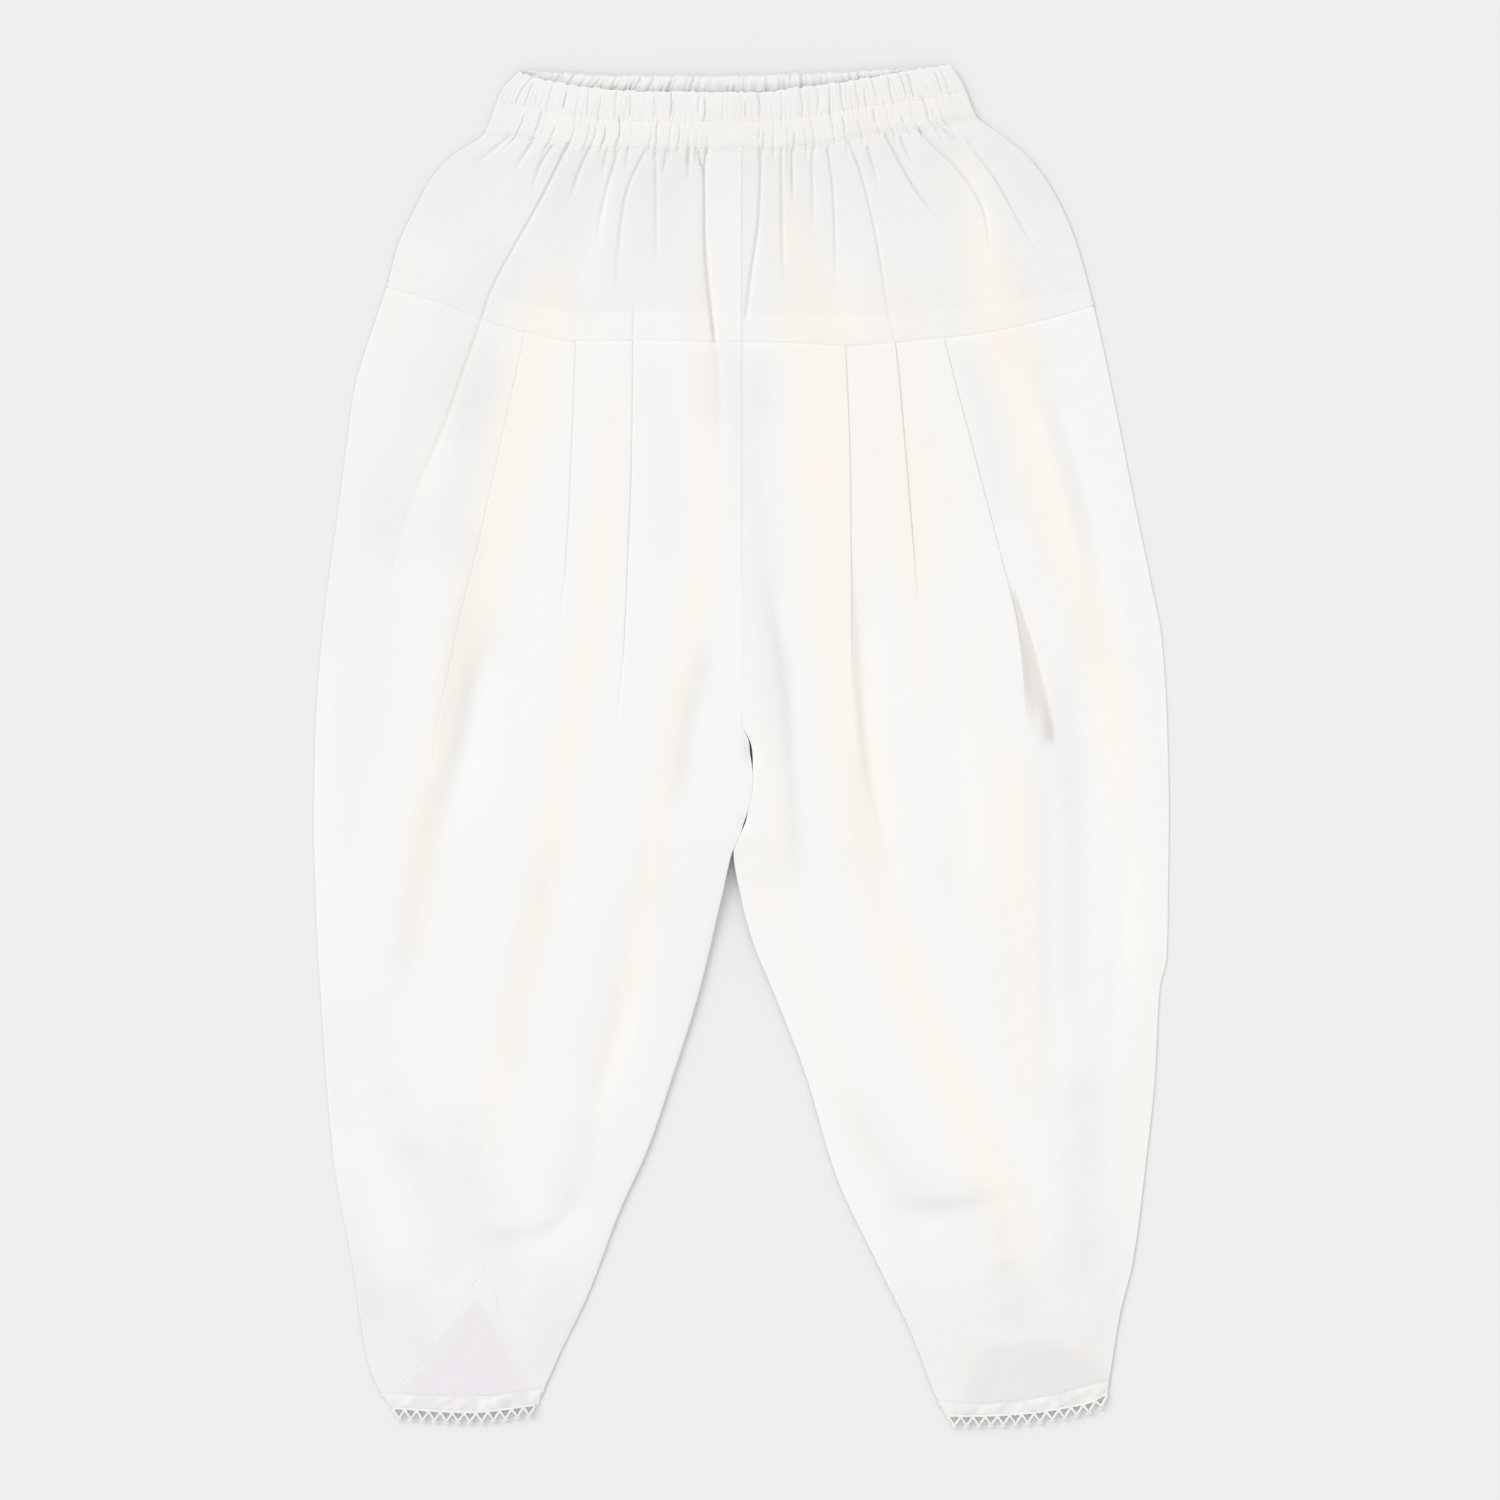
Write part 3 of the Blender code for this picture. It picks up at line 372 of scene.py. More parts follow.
LEG_CREASES = (
    Crease(2.6, 4.2, 8.0, 0.2, 0, 0, ((-128, 280), (-134, 317.5), (-139, 343.5), (-145, 365), (-151, 390))),
    Crease(0.35, 1.4, 1.4, 0.2, 0.6, 0.6, ((-13, 245.5), (-2, 245), (8, 248.5), (14, 262.5), (19, 280))),
    Crease(0.5, 6.0, 6.0, 0.5, 0, 0, ((-131, 128), (-157, 198), (-174, 245))),
    Crease(1.0, 2.4, 2.2, 0.3, 0, 0, ((14, 247.5), (19, 287.5), (24, 323), (26, 358.5), (28, 402.5))),
    Crease(1.3, 6.5, 4.5, 0.3, 0, 0, ((13, 232.5), (23, 299.5), (25, 323), (26, 358.5), (26, 400))),
    Crease(1.2, 6.0, 4.0, 0.3, 0, 0, ((-20, 300), (-26, 337.5), (-33, 385))),
    Crease(1.5, 9.0, 9.0, 0.3, 0, 0, ((-85, 367.5), (-98, 427.5), (-121, 517.5))),
    Crease(1.5, 9.0, 9.0, 0.3, 0, 0, ((-46, 402.5), (-61, 467.5), (-76, 532.5))),
    Crease(1.6, 8.0, 5.0, 0.2, 0.2, 0, (
        (141, 131.5), (149, 167.5), (160, 183.5), (172, 225), (184, 287.5), (194, 327.5),
    )),
    Crease(2.1, 2.4, 7.5, 0.1, 0, 0, (
        (55, 237.5), (58, 272.5), (60, 312.5), (64, 352.5), (72, 386), (76, 405), (80, 425),
    )),
    Crease(1.5, 5.0, 6.0, 0.2, 0.3, 0, ((153, 341.5), (155, 417.5), (154, 537.5))),
    Crease(1.3, 5.0, 8.0, 0.3, 0, 0, ((58, 327.5), (69, 397.5), (82, 447.5))),
    Crease(1.2, 9.0, 9.0, 0.3, 0, 0, ((99, 287.5), (109, 367.5), (117, 467.5))),
    Crease(1.5, 7.0, 4.5, 0.2, 0, 0, ((-176, 536), (-152, 550), (-135, 564), (-124, 570.5), (-100, 571.5))),
    Crease(1.5, 6.5, 4.5, 0.2, 0, 0, ((-135, 586.5), (-104, 587), (-88, 577.5), (-78, 562), (-68, 551.5))),
    Crease(1.3, 4.0, 4.0, 0.2, 0, 0, ((-196, 595), (-186, 610), (-173, 625), (-161, 630))),
    Crease(2.4, 7.5, 4.6, 0.2, 0, 0, ((73, 562.5), (87, 572), (103, 573), (142, 567.5))),
    Crease(1.0, 5.0, 7.0, 0.2, 0, 0, ((140, 571.5), (133, 585.5), (137, 599.5), (129, 608.5), (125, 622.5))),
    Crease(1.2, 5.0, 5.0, 0.2, 0, 0, ((-51, 447.5), (-71, 517.5), (-78, 557.5))),
    Crease(0.4, 6.0, 6.0, 0.3, 0, 0, ((-191, 287.5), (-196, 367.5), (-193, 447.5))),
    Crease(1.0, 6.0, 6.0, 0.3, 0, 0, ((189, 367.5), (190, 442.5), (182, 527.5))),
    Crease(0.9, 4.0, 4.0, 0.3, 0, 0, ((159, 542.5), (172, 560), (185, 567.5))),
)

# The casing's creases above and below its middle stitch row, as x
UPPER_GATHERS = (
    -111, -107, -96, -88, -76, -70, -62, -57, -55, -43, -35, -33, -21,
    -18, 0, 2, 9, 20, 30, 38, 44, 50, 58, 62, 67, 75, 82, 86, 94,
    101, 105,
)
LOWER_GATHERS = (
    -112, -103, -94, -84, -76, -73, -68, -61, -55, -45, -42, -35, -31,
    -26, -22, -17, 9, 11, 16, 23, 26, 32, 36, 46, 52, 60, 69, 76,
    84, 90, 99, 102, 107,
)


# Cream, shade and lilac casts: half width, strength and points in (x, down). The cream casts are painted
# warm light, with the warm tinge of painted shade in some troughs; the shade casts are painted shade, and
# painted highlights where their strength is below 0.
Cast = namedtuple("Cast", "width strength points")
PAINTED_WARM_CASTS = (
    Cast(14, 1.0, (
        (-90, 80), (-95, 117.5), (-106, 157.5), (-114, 192.5), (-123, 237.5), (-134, 287.5), (-140, 327.5),
    )),
    Cast(9, 0.8, ((-131, 267.5), (-141, 297.5), (-150, 337.5), (-159, 387.5), (-165, 467.5))),
    Cast(9, 0.8, (
        (-60, 117.5), (-62, 157.5), (-65, 192.5), (-70, 237.5), (-76, 287.5), (-86, 337.5), (-95, 387.5),
        (-105, 437.5), (-121, 507.5), (-131, 587.5),
    )),
    Cast(8, 0.8, (
        (-19, 42.5), (-18, 117.5), (-19, 157.5), (-18, 192.5), (-18, 237.5), (-26, 287.5), (-34, 337.5),
        (-44, 387.5), (-51, 437.5), (-69, 507.5), (-84, 582.5),
    )),
    Cast(15, 0.95, (
        (29, 50), (32, 117.5), (37, 157.5), (40, 192.5), (43, 237.5), (48, 287.5), (55, 337.5), (64, 397.5),
        (79, 460),
    )),
    Cast(14, 0.75, ((70, 407.5), (79, 447.5), (104, 507.5), (131, 567.5), (138, 602.5), (141, 632.5))),
    Cast(12, 0.4, ((21, 22.5), (22, 47.5), (26, 82.5), (32, 107.5))),
    Cast(26, 0.22, ((92, 30), (129, 57.5), (153, 87.5))),
    Cast(14, 0.2, ((63, 567.5), (82, 612.5), (95, 667.5))),
    Cast(12, 0.2, ((160, 562.5), (170, 612.5), (176, 662.5))),
    Cast(8, 0.35, ((-75, 127.5), (-80, 152.5), (-87, 192.5))),
    Cast(6, 0.4, ((-159, 85), (-170, 110), (-181, 142.5))),
    Cast(12, 0.25, ((121, 402.5), (127, 452.5), (129, 502.5))),
    Cast(7, 0.35, ((139, 262.5), (145, 297.5), (148, 342.5))),
    Cast(8, 0.3, ((-184, 157.5), (-194, 202.5), (-201, 247.5))),
    Cast(6, 0.4, ((3, 382.5), (7, 407.5), (15, 432.5))),
    Cast(14, 0.35, ((102, 32.5), (113, 72.5), (122, 100), (128, 117.5), (134, 137.5), (138, 167.5))),
    Cast(13, 0.5, ((112, 70), (122, 100), (128, 117.5), (134, 137.5), (138, 167.5))),
    Cast(3, 0.4, ((-126, 117.5), (-145, 170), (-161, 207.5), (-175, 247.5))),
    Cast(40, 0.55, ((64, 82.5), (74, 137.5), (82, 202.5), (92, 287.5))),
    Cast(6, 0.6, ((79, 167.5), (83, 202.5), (85, 237.5), (88, 287.5), (89, 337.5))),
    Cast(12, 0.95, (
        (122, 80), (129, 117.5), (137, 157.5), (146, 192.5), (160, 237.5), (177, 287.5), (186, 337.5),
        (193, 407.5),
    )),
    Cast(10, 0.45, ((191, 367.5), (198, 417.5), (203, 487.5), (197, 547.5), (187, 622.5))),
    Cast(9, 0.68, ((135, 327.5), (135, 367.5), (137, 397.5), (142, 437.5), (142, 547.5))),
    Cast(28, 0.34, ((112, 247.5), (114, 307.5), (120, 447.5))),
    Cast(8, 0.45, ((4, 287.5), (11, 327.5), (20, 387.5), (25, 437.5), (54, 522.5), (79, 587.5))),
    Cast(5, 0.5, ((109, 632.5), (117, 667.5))),
    Cast(6, 0.5, ((167, 637.5), (177, 662.5))),
)
# Painted shade along the folds; the casts of negative strength are painted highlights
SHADE_AND_HIGHLIGHT_CASTS = (
    Cast(20, 1.0, ((-170, 92.5), (-183, 177.5), (-195, 267.5))),
    Cast(12, 1.3, ((-121, 132.5), (-136, 192.5), (-152, 262.5))),
    Cast(10, 1.0, ((3, 132.5), (5, 207.5), (14, 287.5), (20, 357.5))),
    Cast(4.5, 1.5, ((17, 272.5), (23, 312.5), (26, 367.5), (26, 420))),
    Cast(7, 0.9, ((109, 132.5), (122, 182.5), (132, 237.5))),
    Cast(9, 1.4, ((160, 287.5), (164, 392.5), (162, 497.5))),
    Cast(6, 0.9, ((142, 130), (150, 157.5), (157, 182.5), (165, 207.5), (173, 237.5), (179, 267.5))),
    Cast(6, -0.8, ((133, 140), (140, 162.5), (152, 192.5), (164, 237.5), (173, 272.5))),
    Cast(20, -0.7, ((174, 287.5), (184, 347.5), (189, 417.5), (184, 487.5))),
    Cast(20, -0.4, ((89, 287.5), (102, 347.5), (122, 417.5))),
    Cast(4, -1.2, ((-65, 50), (-72, 87.5), (-78, 122.5))),
    Cast(10, -1.6, ((109, 37.5), (120, 75), (122, 107.5), (131, 140))),
    Cast(10, -1.1, ((52, 92.5), (55, 117.5), (57, 142.5))),
    Cast(9, 0.7, ((-43, 137.5), (-37, 207.5), (-37, 267.5))),
    Cast(5, 0.7, ((-140, 267.5), (-146, 307.5), (-151, 337.5))),
    Cast(8, 1.4, ((-145, 337.5), (-158, 387.5), (-168, 437.5), (-173, 477.5))),
    Cast(13, 0.9, ((-136, 98.5), (-147, 122.5), (-156, 152.5), (-164, 187.5), (-173, 217.5), (-186, 262.5))),
    Cast(26, 0.4, ((-161, 202.5), (-178, 287.5), (-187, 367.5))),
    Cast(16, 0.7, ((-37, 27.5), (-43, 67.5), (-47, 112.5))),
    Cast(20, 0.9, ((-76, 27.5), (-88, 62.5), (-98, 102.5))),
    Cast(16, 0.9, ((-128, 32.5), (-146, 62.5), (-158, 97.5))),
    Cast(11, 0.8, ((-126, 262.5), (-138, 312.5), (-152, 357.5))),
    Cast(22, 0.3, ((-193, 247.5), (-198, 337.5), (-195, 417.5))),
    Cast(6, 1.4, ((-18, 282.5), (-22, 312.5), (-27, 342.5), (-32, 377.5))),
    Cast(13, 1.1, ((47, 502.5), (69, 542.5), (92, 567.5), (122, 573.5), (147, 567.5))),
    Cast(9, 0.5, ((-91, 392.5), (-106, 467.5), (-118, 522.5))),
    Cast(14, 0.8, ((-181, 517.5), (-156, 567.5), (-143, 617.5))),
    Cast(15, 1.2, ((-115, 75), (-130, 127.5), (-140, 162.5), (-148, 197.5))),
    Cast(12, 0.9, ((-199, 537.5), (-195, 575), (-188, 612.5), (-169, 642.5))),
    Cast(9, 0.8, ((-206, 462.5), (-203, 502.5), (-195, 547.5))),
    Cast(9, 0.7, ((-171, 602.5), (-164, 627.5), (-156, 653.5))),
    Cast(7, 0.9, ((-19, 140.5), (-18, 157.5), (-17, 182.5))),
    Cast(7, 0.9, ((9, 140.5), (10, 157.5), (11, 182.5))),
    Cast(10, 0.8, ((131, 592.5), (137, 612.5), (130, 635))),
    Cast(8, 0.7, ((-131, 227.5), (-138, 257.5), (-143, 287.5))),
    Cast(8, 0.7, ((-199, 232.5), (-202, 262.5), (-206, 302.5))),
    Cast(12, 1.2, ((170, 487.5), (173, 562.5), (168, 622.5))),
    Cast(13, 1.0, ((-142, 507.5), (-135, 557.5), (-121, 587.5), (-98, 595.5))),
    Cast(10, 0.9, ((-73, 522.5), (-81, 550), (-93, 575))),
    Cast(12, 0.9, ((-184, 457.5), (-181, 492.5), (-172, 532.5))),
)
LILAC_CASTS = (
    Cast(12, 0.64, (
        (-180, 217.5), (-187, 277.5), (-191, 337.5), (-196, 417.5), (-199, 482.5), (-195, 532.5),
    )),
    Cast(13, 0.55, ((-191, 507.5), (-157, 545), (-134, 592.5))),
    Cast(10, 0.5, ((-183, 602.5), (-175, 667.5))),
    Cast(8, 0.5, ((-91, 592.5), (-98, 667.5))),
)


def through(table):
    """The smooth curve through a table's rows that never swings past them, level beyond its ends."""
    xs, ys = np.array(table, dtype=float).T
    rise = np.diff(ys) / np.diff(xs)
    slope = np.zeros(len(xs))
    slope[0], slope[-1] = rise[0], rise[-1]
    for i in range(1, len(xs) - 1):
        if rise[i - 1] * rise[i] > 0:
            slope[i] = 2 * rise[i - 1] * rise[i] / (rise[i - 1] + rise[i])

    def value(x):
        x = np.asarray(x, dtype=float)
        i = np.clip(np.searchsorted(xs, x, side="right") - 1, 0, len(xs) - 2)
        step = xs[i + 1] - xs[i]
        t = np.clip((x - xs[i]) / step, 0.0, 1.0)
        start = ys[i] * (2 * t**3 - 3 * t**2 + 1) + slope[i] * step * (t**3 - 2 * t**2 + t)
        end = ys[i + 1] * (3 * t**2 - 2 * t**3) + slope[i + 1] * step * (t**3 - t**2)
        return start + end

    return value


def section_lines(sections):
    """The lines down a leg that its pleats and its middle follow."""
    return {name: through(list(zip(SECTION_DOWNS, xs))) for name, xs in sections.items()}


side_left, side_right = through(SIDE_LEFT), through(SIDE_RIGHT)
inner_left, inner_right = through(INNER_LEFT), through(INNER_RIGHT)
height_left, height_right = through(HEIGHT_LEFT), through(HEIGHT_RIGHT)
height_inner_left, height_inner_right = through(HEIGHT_INNER_LEFT), through(HEIGHT_INNER_RIGHT)
band_top_front, band_top_back = through(BAND_TOP_FRONT), through(BAND_TOP_BACK)
band_bottom, yoke_seam = through(BAND_BOTTOM), through(YOKE_SEAM)
loft_at, allowance_width = through(LOFT), through(ALLOWANCE)

# Each leg's outward direction, its outlines, the lines of its sections and its pleats
Leg = namedtuple("Leg", "outward side inner hem_top hem_foot lines pleats")
LEGS = {
    "left": Leg(-1, side_left, inner_left, through(HEM_TOP_LEFT), through(HEM_FOOT_LEFT),
                section_lines(LEFT_SECTIONS), PLEATS_LEFT),
    "right": Leg(1, side_right, inner_right, through(HEM_TOP_RIGHT), through(HEM_FOOT_RIGHT),
                 section_lines(RIGHT_SECTIONS), PLEATS_RIGHT),
}


def count(full):
    return full


def mix(a, b, share):
    return a + (b - a) * share


def ease(low, high, value):
    """0 below low, 1 above high, and a smooth rise between."""
    t = np.clip((np.asarray(value, dtype=float) - low) / (high - low), 0.0, 1.0)
    return t * t * (3 - 2 * t)


def hump(value, middle, width):
    return np.exp(-(((value - middle) / width) ** 2))


def roll(distance, radius=FOLD_RADIUS):
    """0 at a folded edge and 1 a fold's radius inside it, as a quarter circle rises."""
    t = 1 - np.clip(distance / radius, 0.0, 1.0)
    return np.sqrt(np.maximum(1 - t * t, 0.0))


def value_noise(x, y, size, seed):
    """Smooth random relief from -1 to 1, its bumps about `size` millimetres across."""
    lattice = np.random.RandomState(seed).uniform(-1, 1, (64, 64))
    u, v = x / size + 31.7, y / size + 17.3
    i, j = np.floor(u).astype(int), np.floor(v).astype(int)
    s, t = u - i, v - j
    s, t = s * s * (3 - 2 * s), t * t * (3 - 2 * t)
    corner = lambda a, b: lattice[(i + a) % 64, (j + b) % 64]
    return mix(mix(corner(0, 0), corner(1, 0), s), mix(corner(0, 1), corner(1, 1), s), t)


def crumple(x, down, amount, seed):
    """Faint unevenness of washed cotton, longer down the cloth than across it."""
    relief = 0.55 * value_noise(x, down * 0.45, 17.0, seed)
    relief += 0.3 * value_noise(x + 0.3 * down, down, 9.0, seed + 1)
    relief += 0.15 * value_noise(x - 0.2 * down, down, 4.0, seed + 2)
    return amount * relief


def smooth_line(points, steps=6):
    """A curve through the points, as an array with `steps` pieces between neighbouring ones."""
    p = np.array(points, dtype=float)
    if len(p) == 2:
        return p[0] + (p[1] - p[0]) * np.linspace(0, 1, steps + 1)[:, None]
    p = np.vstack([2 * p[0] - p[1], p, 2 * p[-1] - p[-2]])
    t = np.linspace(0, 1, steps, endpoint=False)[:, None]
    out = []
    for a, b, c, d in zip(p, p[1:], p[2:], p[3:]):
        cubic = (2 * a - 5 * b + 4 * c - d) * t**2 + (3 * b - a - 3 * c + d) * t**3
        out.append(0.5 * (2 * b + (c - a) * t + cubic))
    return np.vstack(out + [p[-2][None, :]])


def line_lengths(line):
    """How long a line is up to each of its points."""
    steps = np.linalg.norm(np.diff(line, axis=0), axis=1)
    return np.concatenate([[0.0], np.cumsum(steps)])


def along_line(line, x, down):
    """The distance from a line, positive to its right, and the share of its length that is passed."""
    best = np.full(x.shape, 1e9)
    side = np.zeros(x.shape)
    share = np.zeros(x.shape)
    lengths = line_lengths(line)
    for i in range(len(line) - 1):
        (ax, ay), (bx, by) = line[i], line[i + 1]
        sx, sy = bx - ax, by - ay
        fx, fy = x - ax, down - ay
        t = np.clip((fx * sx + fy * sy) / (sx * sx + sy * sy), 0, 1)
        d = np.hypot(fx - t * sx, fy - t * sy)
        closer = d < best
        best = np.where(closer, d, best)
        side = np.where(closer, np.sign(fx * sy - fy * sx), side)
        share = np.where(closer, mix(lengths[i], lengths[i + 1], t) / lengths[-1], share)
    return best * side, share


def crease_places(creases, x, down):
    """Each crease's reach, with the distance from it, its growth and its strength there."""
    for crease in creases:
        line = smooth_line(crease.points)
        reach = 3.2 * max(crease.left, crease.right) * (1 + crease.widen)
        near = (x > line[:, 0].min() - reach) & (x < line[:, 0].max() + reach)
        near &= (down > line[:, 1].min() - reach) & (down < line[:, 1].max() + reach)
        if not near.any():
            continue
        distance, share = along_line(line, x[near], down[near])
        strength = mix(crease.begins, 1.0, ease(0.0, 0.3, share))
        strength = strength * mix(1.0, crease.ends, ease(0.5, 1.0, share))
        yield crease, near, distance, 1 + crease.widen * share, strength


def crease_relief(creases, x, down):
    """The sum of the creases' troughs. Each bunches up a little beside its sharper flank."""
    total = np.zeros(x.shape)
    for crease, near, distance, grow, strength in crease_places(creases, x, down):
        width = np.where(distance < 0, crease.left, crease.right) * grow
        trough = 0.78 * hump(distance, 0, width) + 0.22 * hump(distance, 0, 2.7 * width)
        sharper = min(crease.left, crease.right)
        away = -1.9 if crease.left < crease.right else 1.9
        lean = 1 - sharper / max(crease.left, crease.right)
        bunch = 0.3 * lean * hump(distance, away * sharper * grow, 1.3 * sharper * grow)
        total[near] += crease.depth * strength * (bunch - trough)
    return total


def crease_cores(creases, x, down):
    """Painted shade in the narrow bottoms of the sharp creases."""
    total = np.zeros(x.shape)
    for crease, near, distance, _, strength in crease_places(creases, x, down):
        total[near] += crease.depth * strength * hump(distance, -0.4, 0.6)
    return total


def mirrored(creases, depth):
    """Similar creases for the hidden side: mirrored, and pressed flatter."""
    return [
        c._replace(depth=c.depth * depth, left=c.right, right=c.left,
                   points=tuple((2.0 - 0.97 * x, down + 3.0) for x, down in c.points))
        for c in creases
    ]


BACK_CREASES = mirrored(YOKE_CREASES, 0.45) + mirrored(LEG_CREASES, 0.35)


def cast_at(casts, x, down):
    """How strong a cast is at a place, from 0 to about 1."""
    total = np.zeros(x.shape)
    for cast in casts:
        distance, share = along_line(smooth_line(cast.points), x, down)
        fade = ease(0, 0.2, share) * ease(0, 0.25, 1 - share)
        total += cast.strength * fade * hump(distance, 0, cast.width)
    return total


def side_distance(x, down):
    return np.maximum(np.minimum(x - side_left(down), side_right(down) - x), 0.0)


def inner_distance(x, down):
    """How far a place is from the edge of its own leg at the fork."""
    left = np.maximum(inner_left(down) - x, 0.0)
    right = np.maximum(x - inner_right(down), 0.0)
    return np.where(x < inner_left(down), left, right)


def apart(down):
    """How far the legs' inner edges have parted below the fork."""
    return ease(*LEGS_PART, down)


def slit(down):
    """The two places above the fork where the inner edges gape a little."""
    return hump(down, UPPER_SLIT, 7.0) + 0.4 * hump(down, LOWER_SLIT, 4.0)


def fork_gap(down):
    """How far each leg's inner edge stands back from the shared line below the fork."""
    gape = 0.6 * hump(down, UPPER_SLIT, 6.0) + 0.35 * hump(down, LOWER_SLIT, 3.5)
    return 0.02 * ease(318, 330, down) + gape


def side_height(x, down):
    """The front's height at the nearer side's fold."""
    return np.where(x < 0, height_left(down), height_right(down))


def inner_height(x, down):
    """The front's height at its own leg's inner edge below the fork."""
    return np.where(x < inner_left(down), height_inner_left(down), height_inner_right(down))


def fold_z(x, down):
    """The height of the side's folded edge: just under the front's."""
    return side_height(x, down) - FOLD_DROP


def loft(x, down):
    """How far the cloth stands up between its edges: higher at some places where it is lifted."""
    height = loft_at(down)
    for middle_x, middle_down, spread_x, spread_down, rise in LIFTS:
        away = ((x - middle_x) / spread_x) ** 2 + ((down - middle_down) / spread_down) ** 2
        height = height + rise * np.exp(-away)
    return height


def body(x, down):
    """The front's height without its folds: highest in the middle, low at the sides and inner legs."""
    middle = FRONT_BASE + loft(x, down)
    from_inner = inner_distance(x, down)
    sides = (middle - side_height(x, down)) * np.exp(-side_distance(x, down) / ARCH)
    inner = (middle - inner_height(x, down)) * np.exp(-from_inner / INNER_ARCH)
    arched = middle - np.maximum(sides, 0) - apart(down) * np.maximum(inner, 0)
    lowest = np.minimum(side_height(x, down), inner_height(x, down))
    dropped = SLIT_DROP * slit(down) * hump(from_inner, 0, 3.0)
    return np.maximum(arched, mix(arched, lowest, 0.8)) - dropped


def pleat_fields(x, down, leg):
    """The pleats' rise at each place, and how far the cloth there is drawn over or under the edge."""
    rise = np.zeros(x.shape)
    drawn = np.zeros(x.shape)
    start = yoke_seam(x)
    for name, end, shift, lift, cut in leg.pleats:
        inside = (leg.lines[name](down) + shift - x) * leg.outward
        fade = 1 - ease(mix(start, end, 0.65), end, down)
        step = ease(-0.9, 0.9, inside)
        fall = np.maximum(0.0, 1 - np.maximum(inside - 1.2, 0.0) / PLEAT_SPREAD) ** 1.6
        dip = PLEAT_DIP * np.exp(-np.abs(np.minimum(inside, 0.0)) / 4.5) * (1 - step)
        groove = cut * hump(inside, -0.4, 0.65)
        rise += fade * (lift * (step * fall - dip) - groove)
        drawn += PLEAT_OVERLAP * fade * inside * hump(inside, 0, PLEAT_TURN) * leg.outward
    return rise, drawn


def pleat_mouth(x, down):
    """The deep trough where the outermost right pleat opens, and its shade, darker to the right."""
    distance, share = along_line(smooth_line(MOUTH_LINE), x, down)
    across = distance / mix(0.5, 5.6, ease(-0.1, 0.95, share))
    low = ease(0.55, 0.95, share)
    wedge = (1 - ease(0.75, 1.2, np.abs(across))) * mix(1.0, ease(-0.9, 0.8, across), low)
    wedge = wedge * ease(0.0, 0.12, share) * ease(0.0, 0.1, 1 - share)
    depth = MOUTH_DEPTH * ease(0.05, 0.7, share) * np.exp(-(across**4)) * ease(0.0, 0.35, 1 - share)
    return -depth, wedge * mix(0.7, 1.15, ease(-0.6, 0.8, across) * low)


def seam_press(x, down):
    """How freely the folds stand near the yoke seam, which holds them down."""
    return 1 - 0.45 * hump(down, yoke_seam(x), 2.4)


def seam_lines(x, down):
    """The yoke seam's ditch and the pressed allowances that show through the cloth."""
    above = yoke_seam(x) - down
    relief = -SEAM_DITCH * hump(np.minimum(above, 0), 0, 0.8) * (above <= 0)
    in_allowance = ease(-0.1, 0.5, above) * (1 - ease(-0.5, 0.5, above - allowance_width(x)))
    relief += ALLOWANCE_STEP * in_allowance
    ridge = hump(x, -0.3, 0.75) * (1 - ease(FORK_START, FORK_END, down))
    return relief + SEAM_RIDGE * ridge * (1 - 0.6 * ease(210, 322, down))


def front_z(x, down, pleat_rise):
    """The height of the front's outer face before its edges roll over."""
    folds = crease_relief(LEG_CREASES, x, down) + crease_relief(YOKE_CREASES, x, down)
    folds = folds + pleat_mouth(x, down)[0] + pleat_rise
    height = body(x, down) + folds * seam_press(x, down) + seam_lines(x, down)
    height = height + crumple(x, down, CRUMPLE, 3)
    pinch = ease(322, 335, down) * (1 - ease(386, 392, down)) * np.exp(-inner_distance(x, down) / 0.8)
    spare = height - 0.15 * pinch - LOWEST_FRONT
    return LOWEST_FRONT + 0.5 * (spare + np.sqrt(spare**2 + 0.05))


def back_z(x, down):
    """The back's outer face, which lies on the floor: its creases go up into the garment."""
    relief = -0.5 * crease_relief(BACK_CREASES, x, down)
    relief = relief + 0.25 * hump(down, yoke_seam(x), 1.2) + crumple(x, down, BACK_CRUMPLE, 21)
    return BACK_Z + np.clip(relief, -0.15, 1.1)


def back_lift(distance, edge_z):
    """How much of a folded edge's height the back has at a distance from it."""
    return hump(distance, 0, 1.2 * edge_z + 1.5)


def band_share(x, down):
    """A place across the band as a share of its width: the ends' slant fades inwards."""
    low, high = float(side_left(BAND_MIDDLE)), float(side_right(BAND_MIDDLE))
    from_left, from_right = side_left(down), side_right(down)
    slant = (from_left - low) * np.exp(-np.maximum(x - from_left, 0) / BAND_SLANT)
    slant = slant + (from_right - high) * np.exp(-np.maximum(from_right - x, 0) / BAND_SLANT)
    return (x - slant - low) / (high - low)


def gather_shares(marks, down):
    """Where a row of gathers lies, as shares of the band's width, with the band's ends."""
    places = band_share(np.array(marks), np.full(len(marks), down)).tolist()
    return [0.0] + places + [1.0]


def even_shares(number, wander, turns, small, small_turns):
    """Shares of the band's width that are nearly even, each wandering a little."""
    places = [i + wander * math.sin(i * turns) + small * math.sin(i * small_turns) for i in range(1, number)]
    return [0.0] + [place / number for place in places] + [1.0]


UPPER_SHARES = gather_shares(UPPER_GATHERS, 17.0)
LOWER_SHARES = gather_shares(LOWER_GATHERS, 35.5)
FINE_SHARES = even_shares(112, 0.35, 1.7, 0.3, 4.3)
BACK_SHARES = even_shares(62, 0.3, 2.4, 0.2, 5.1)


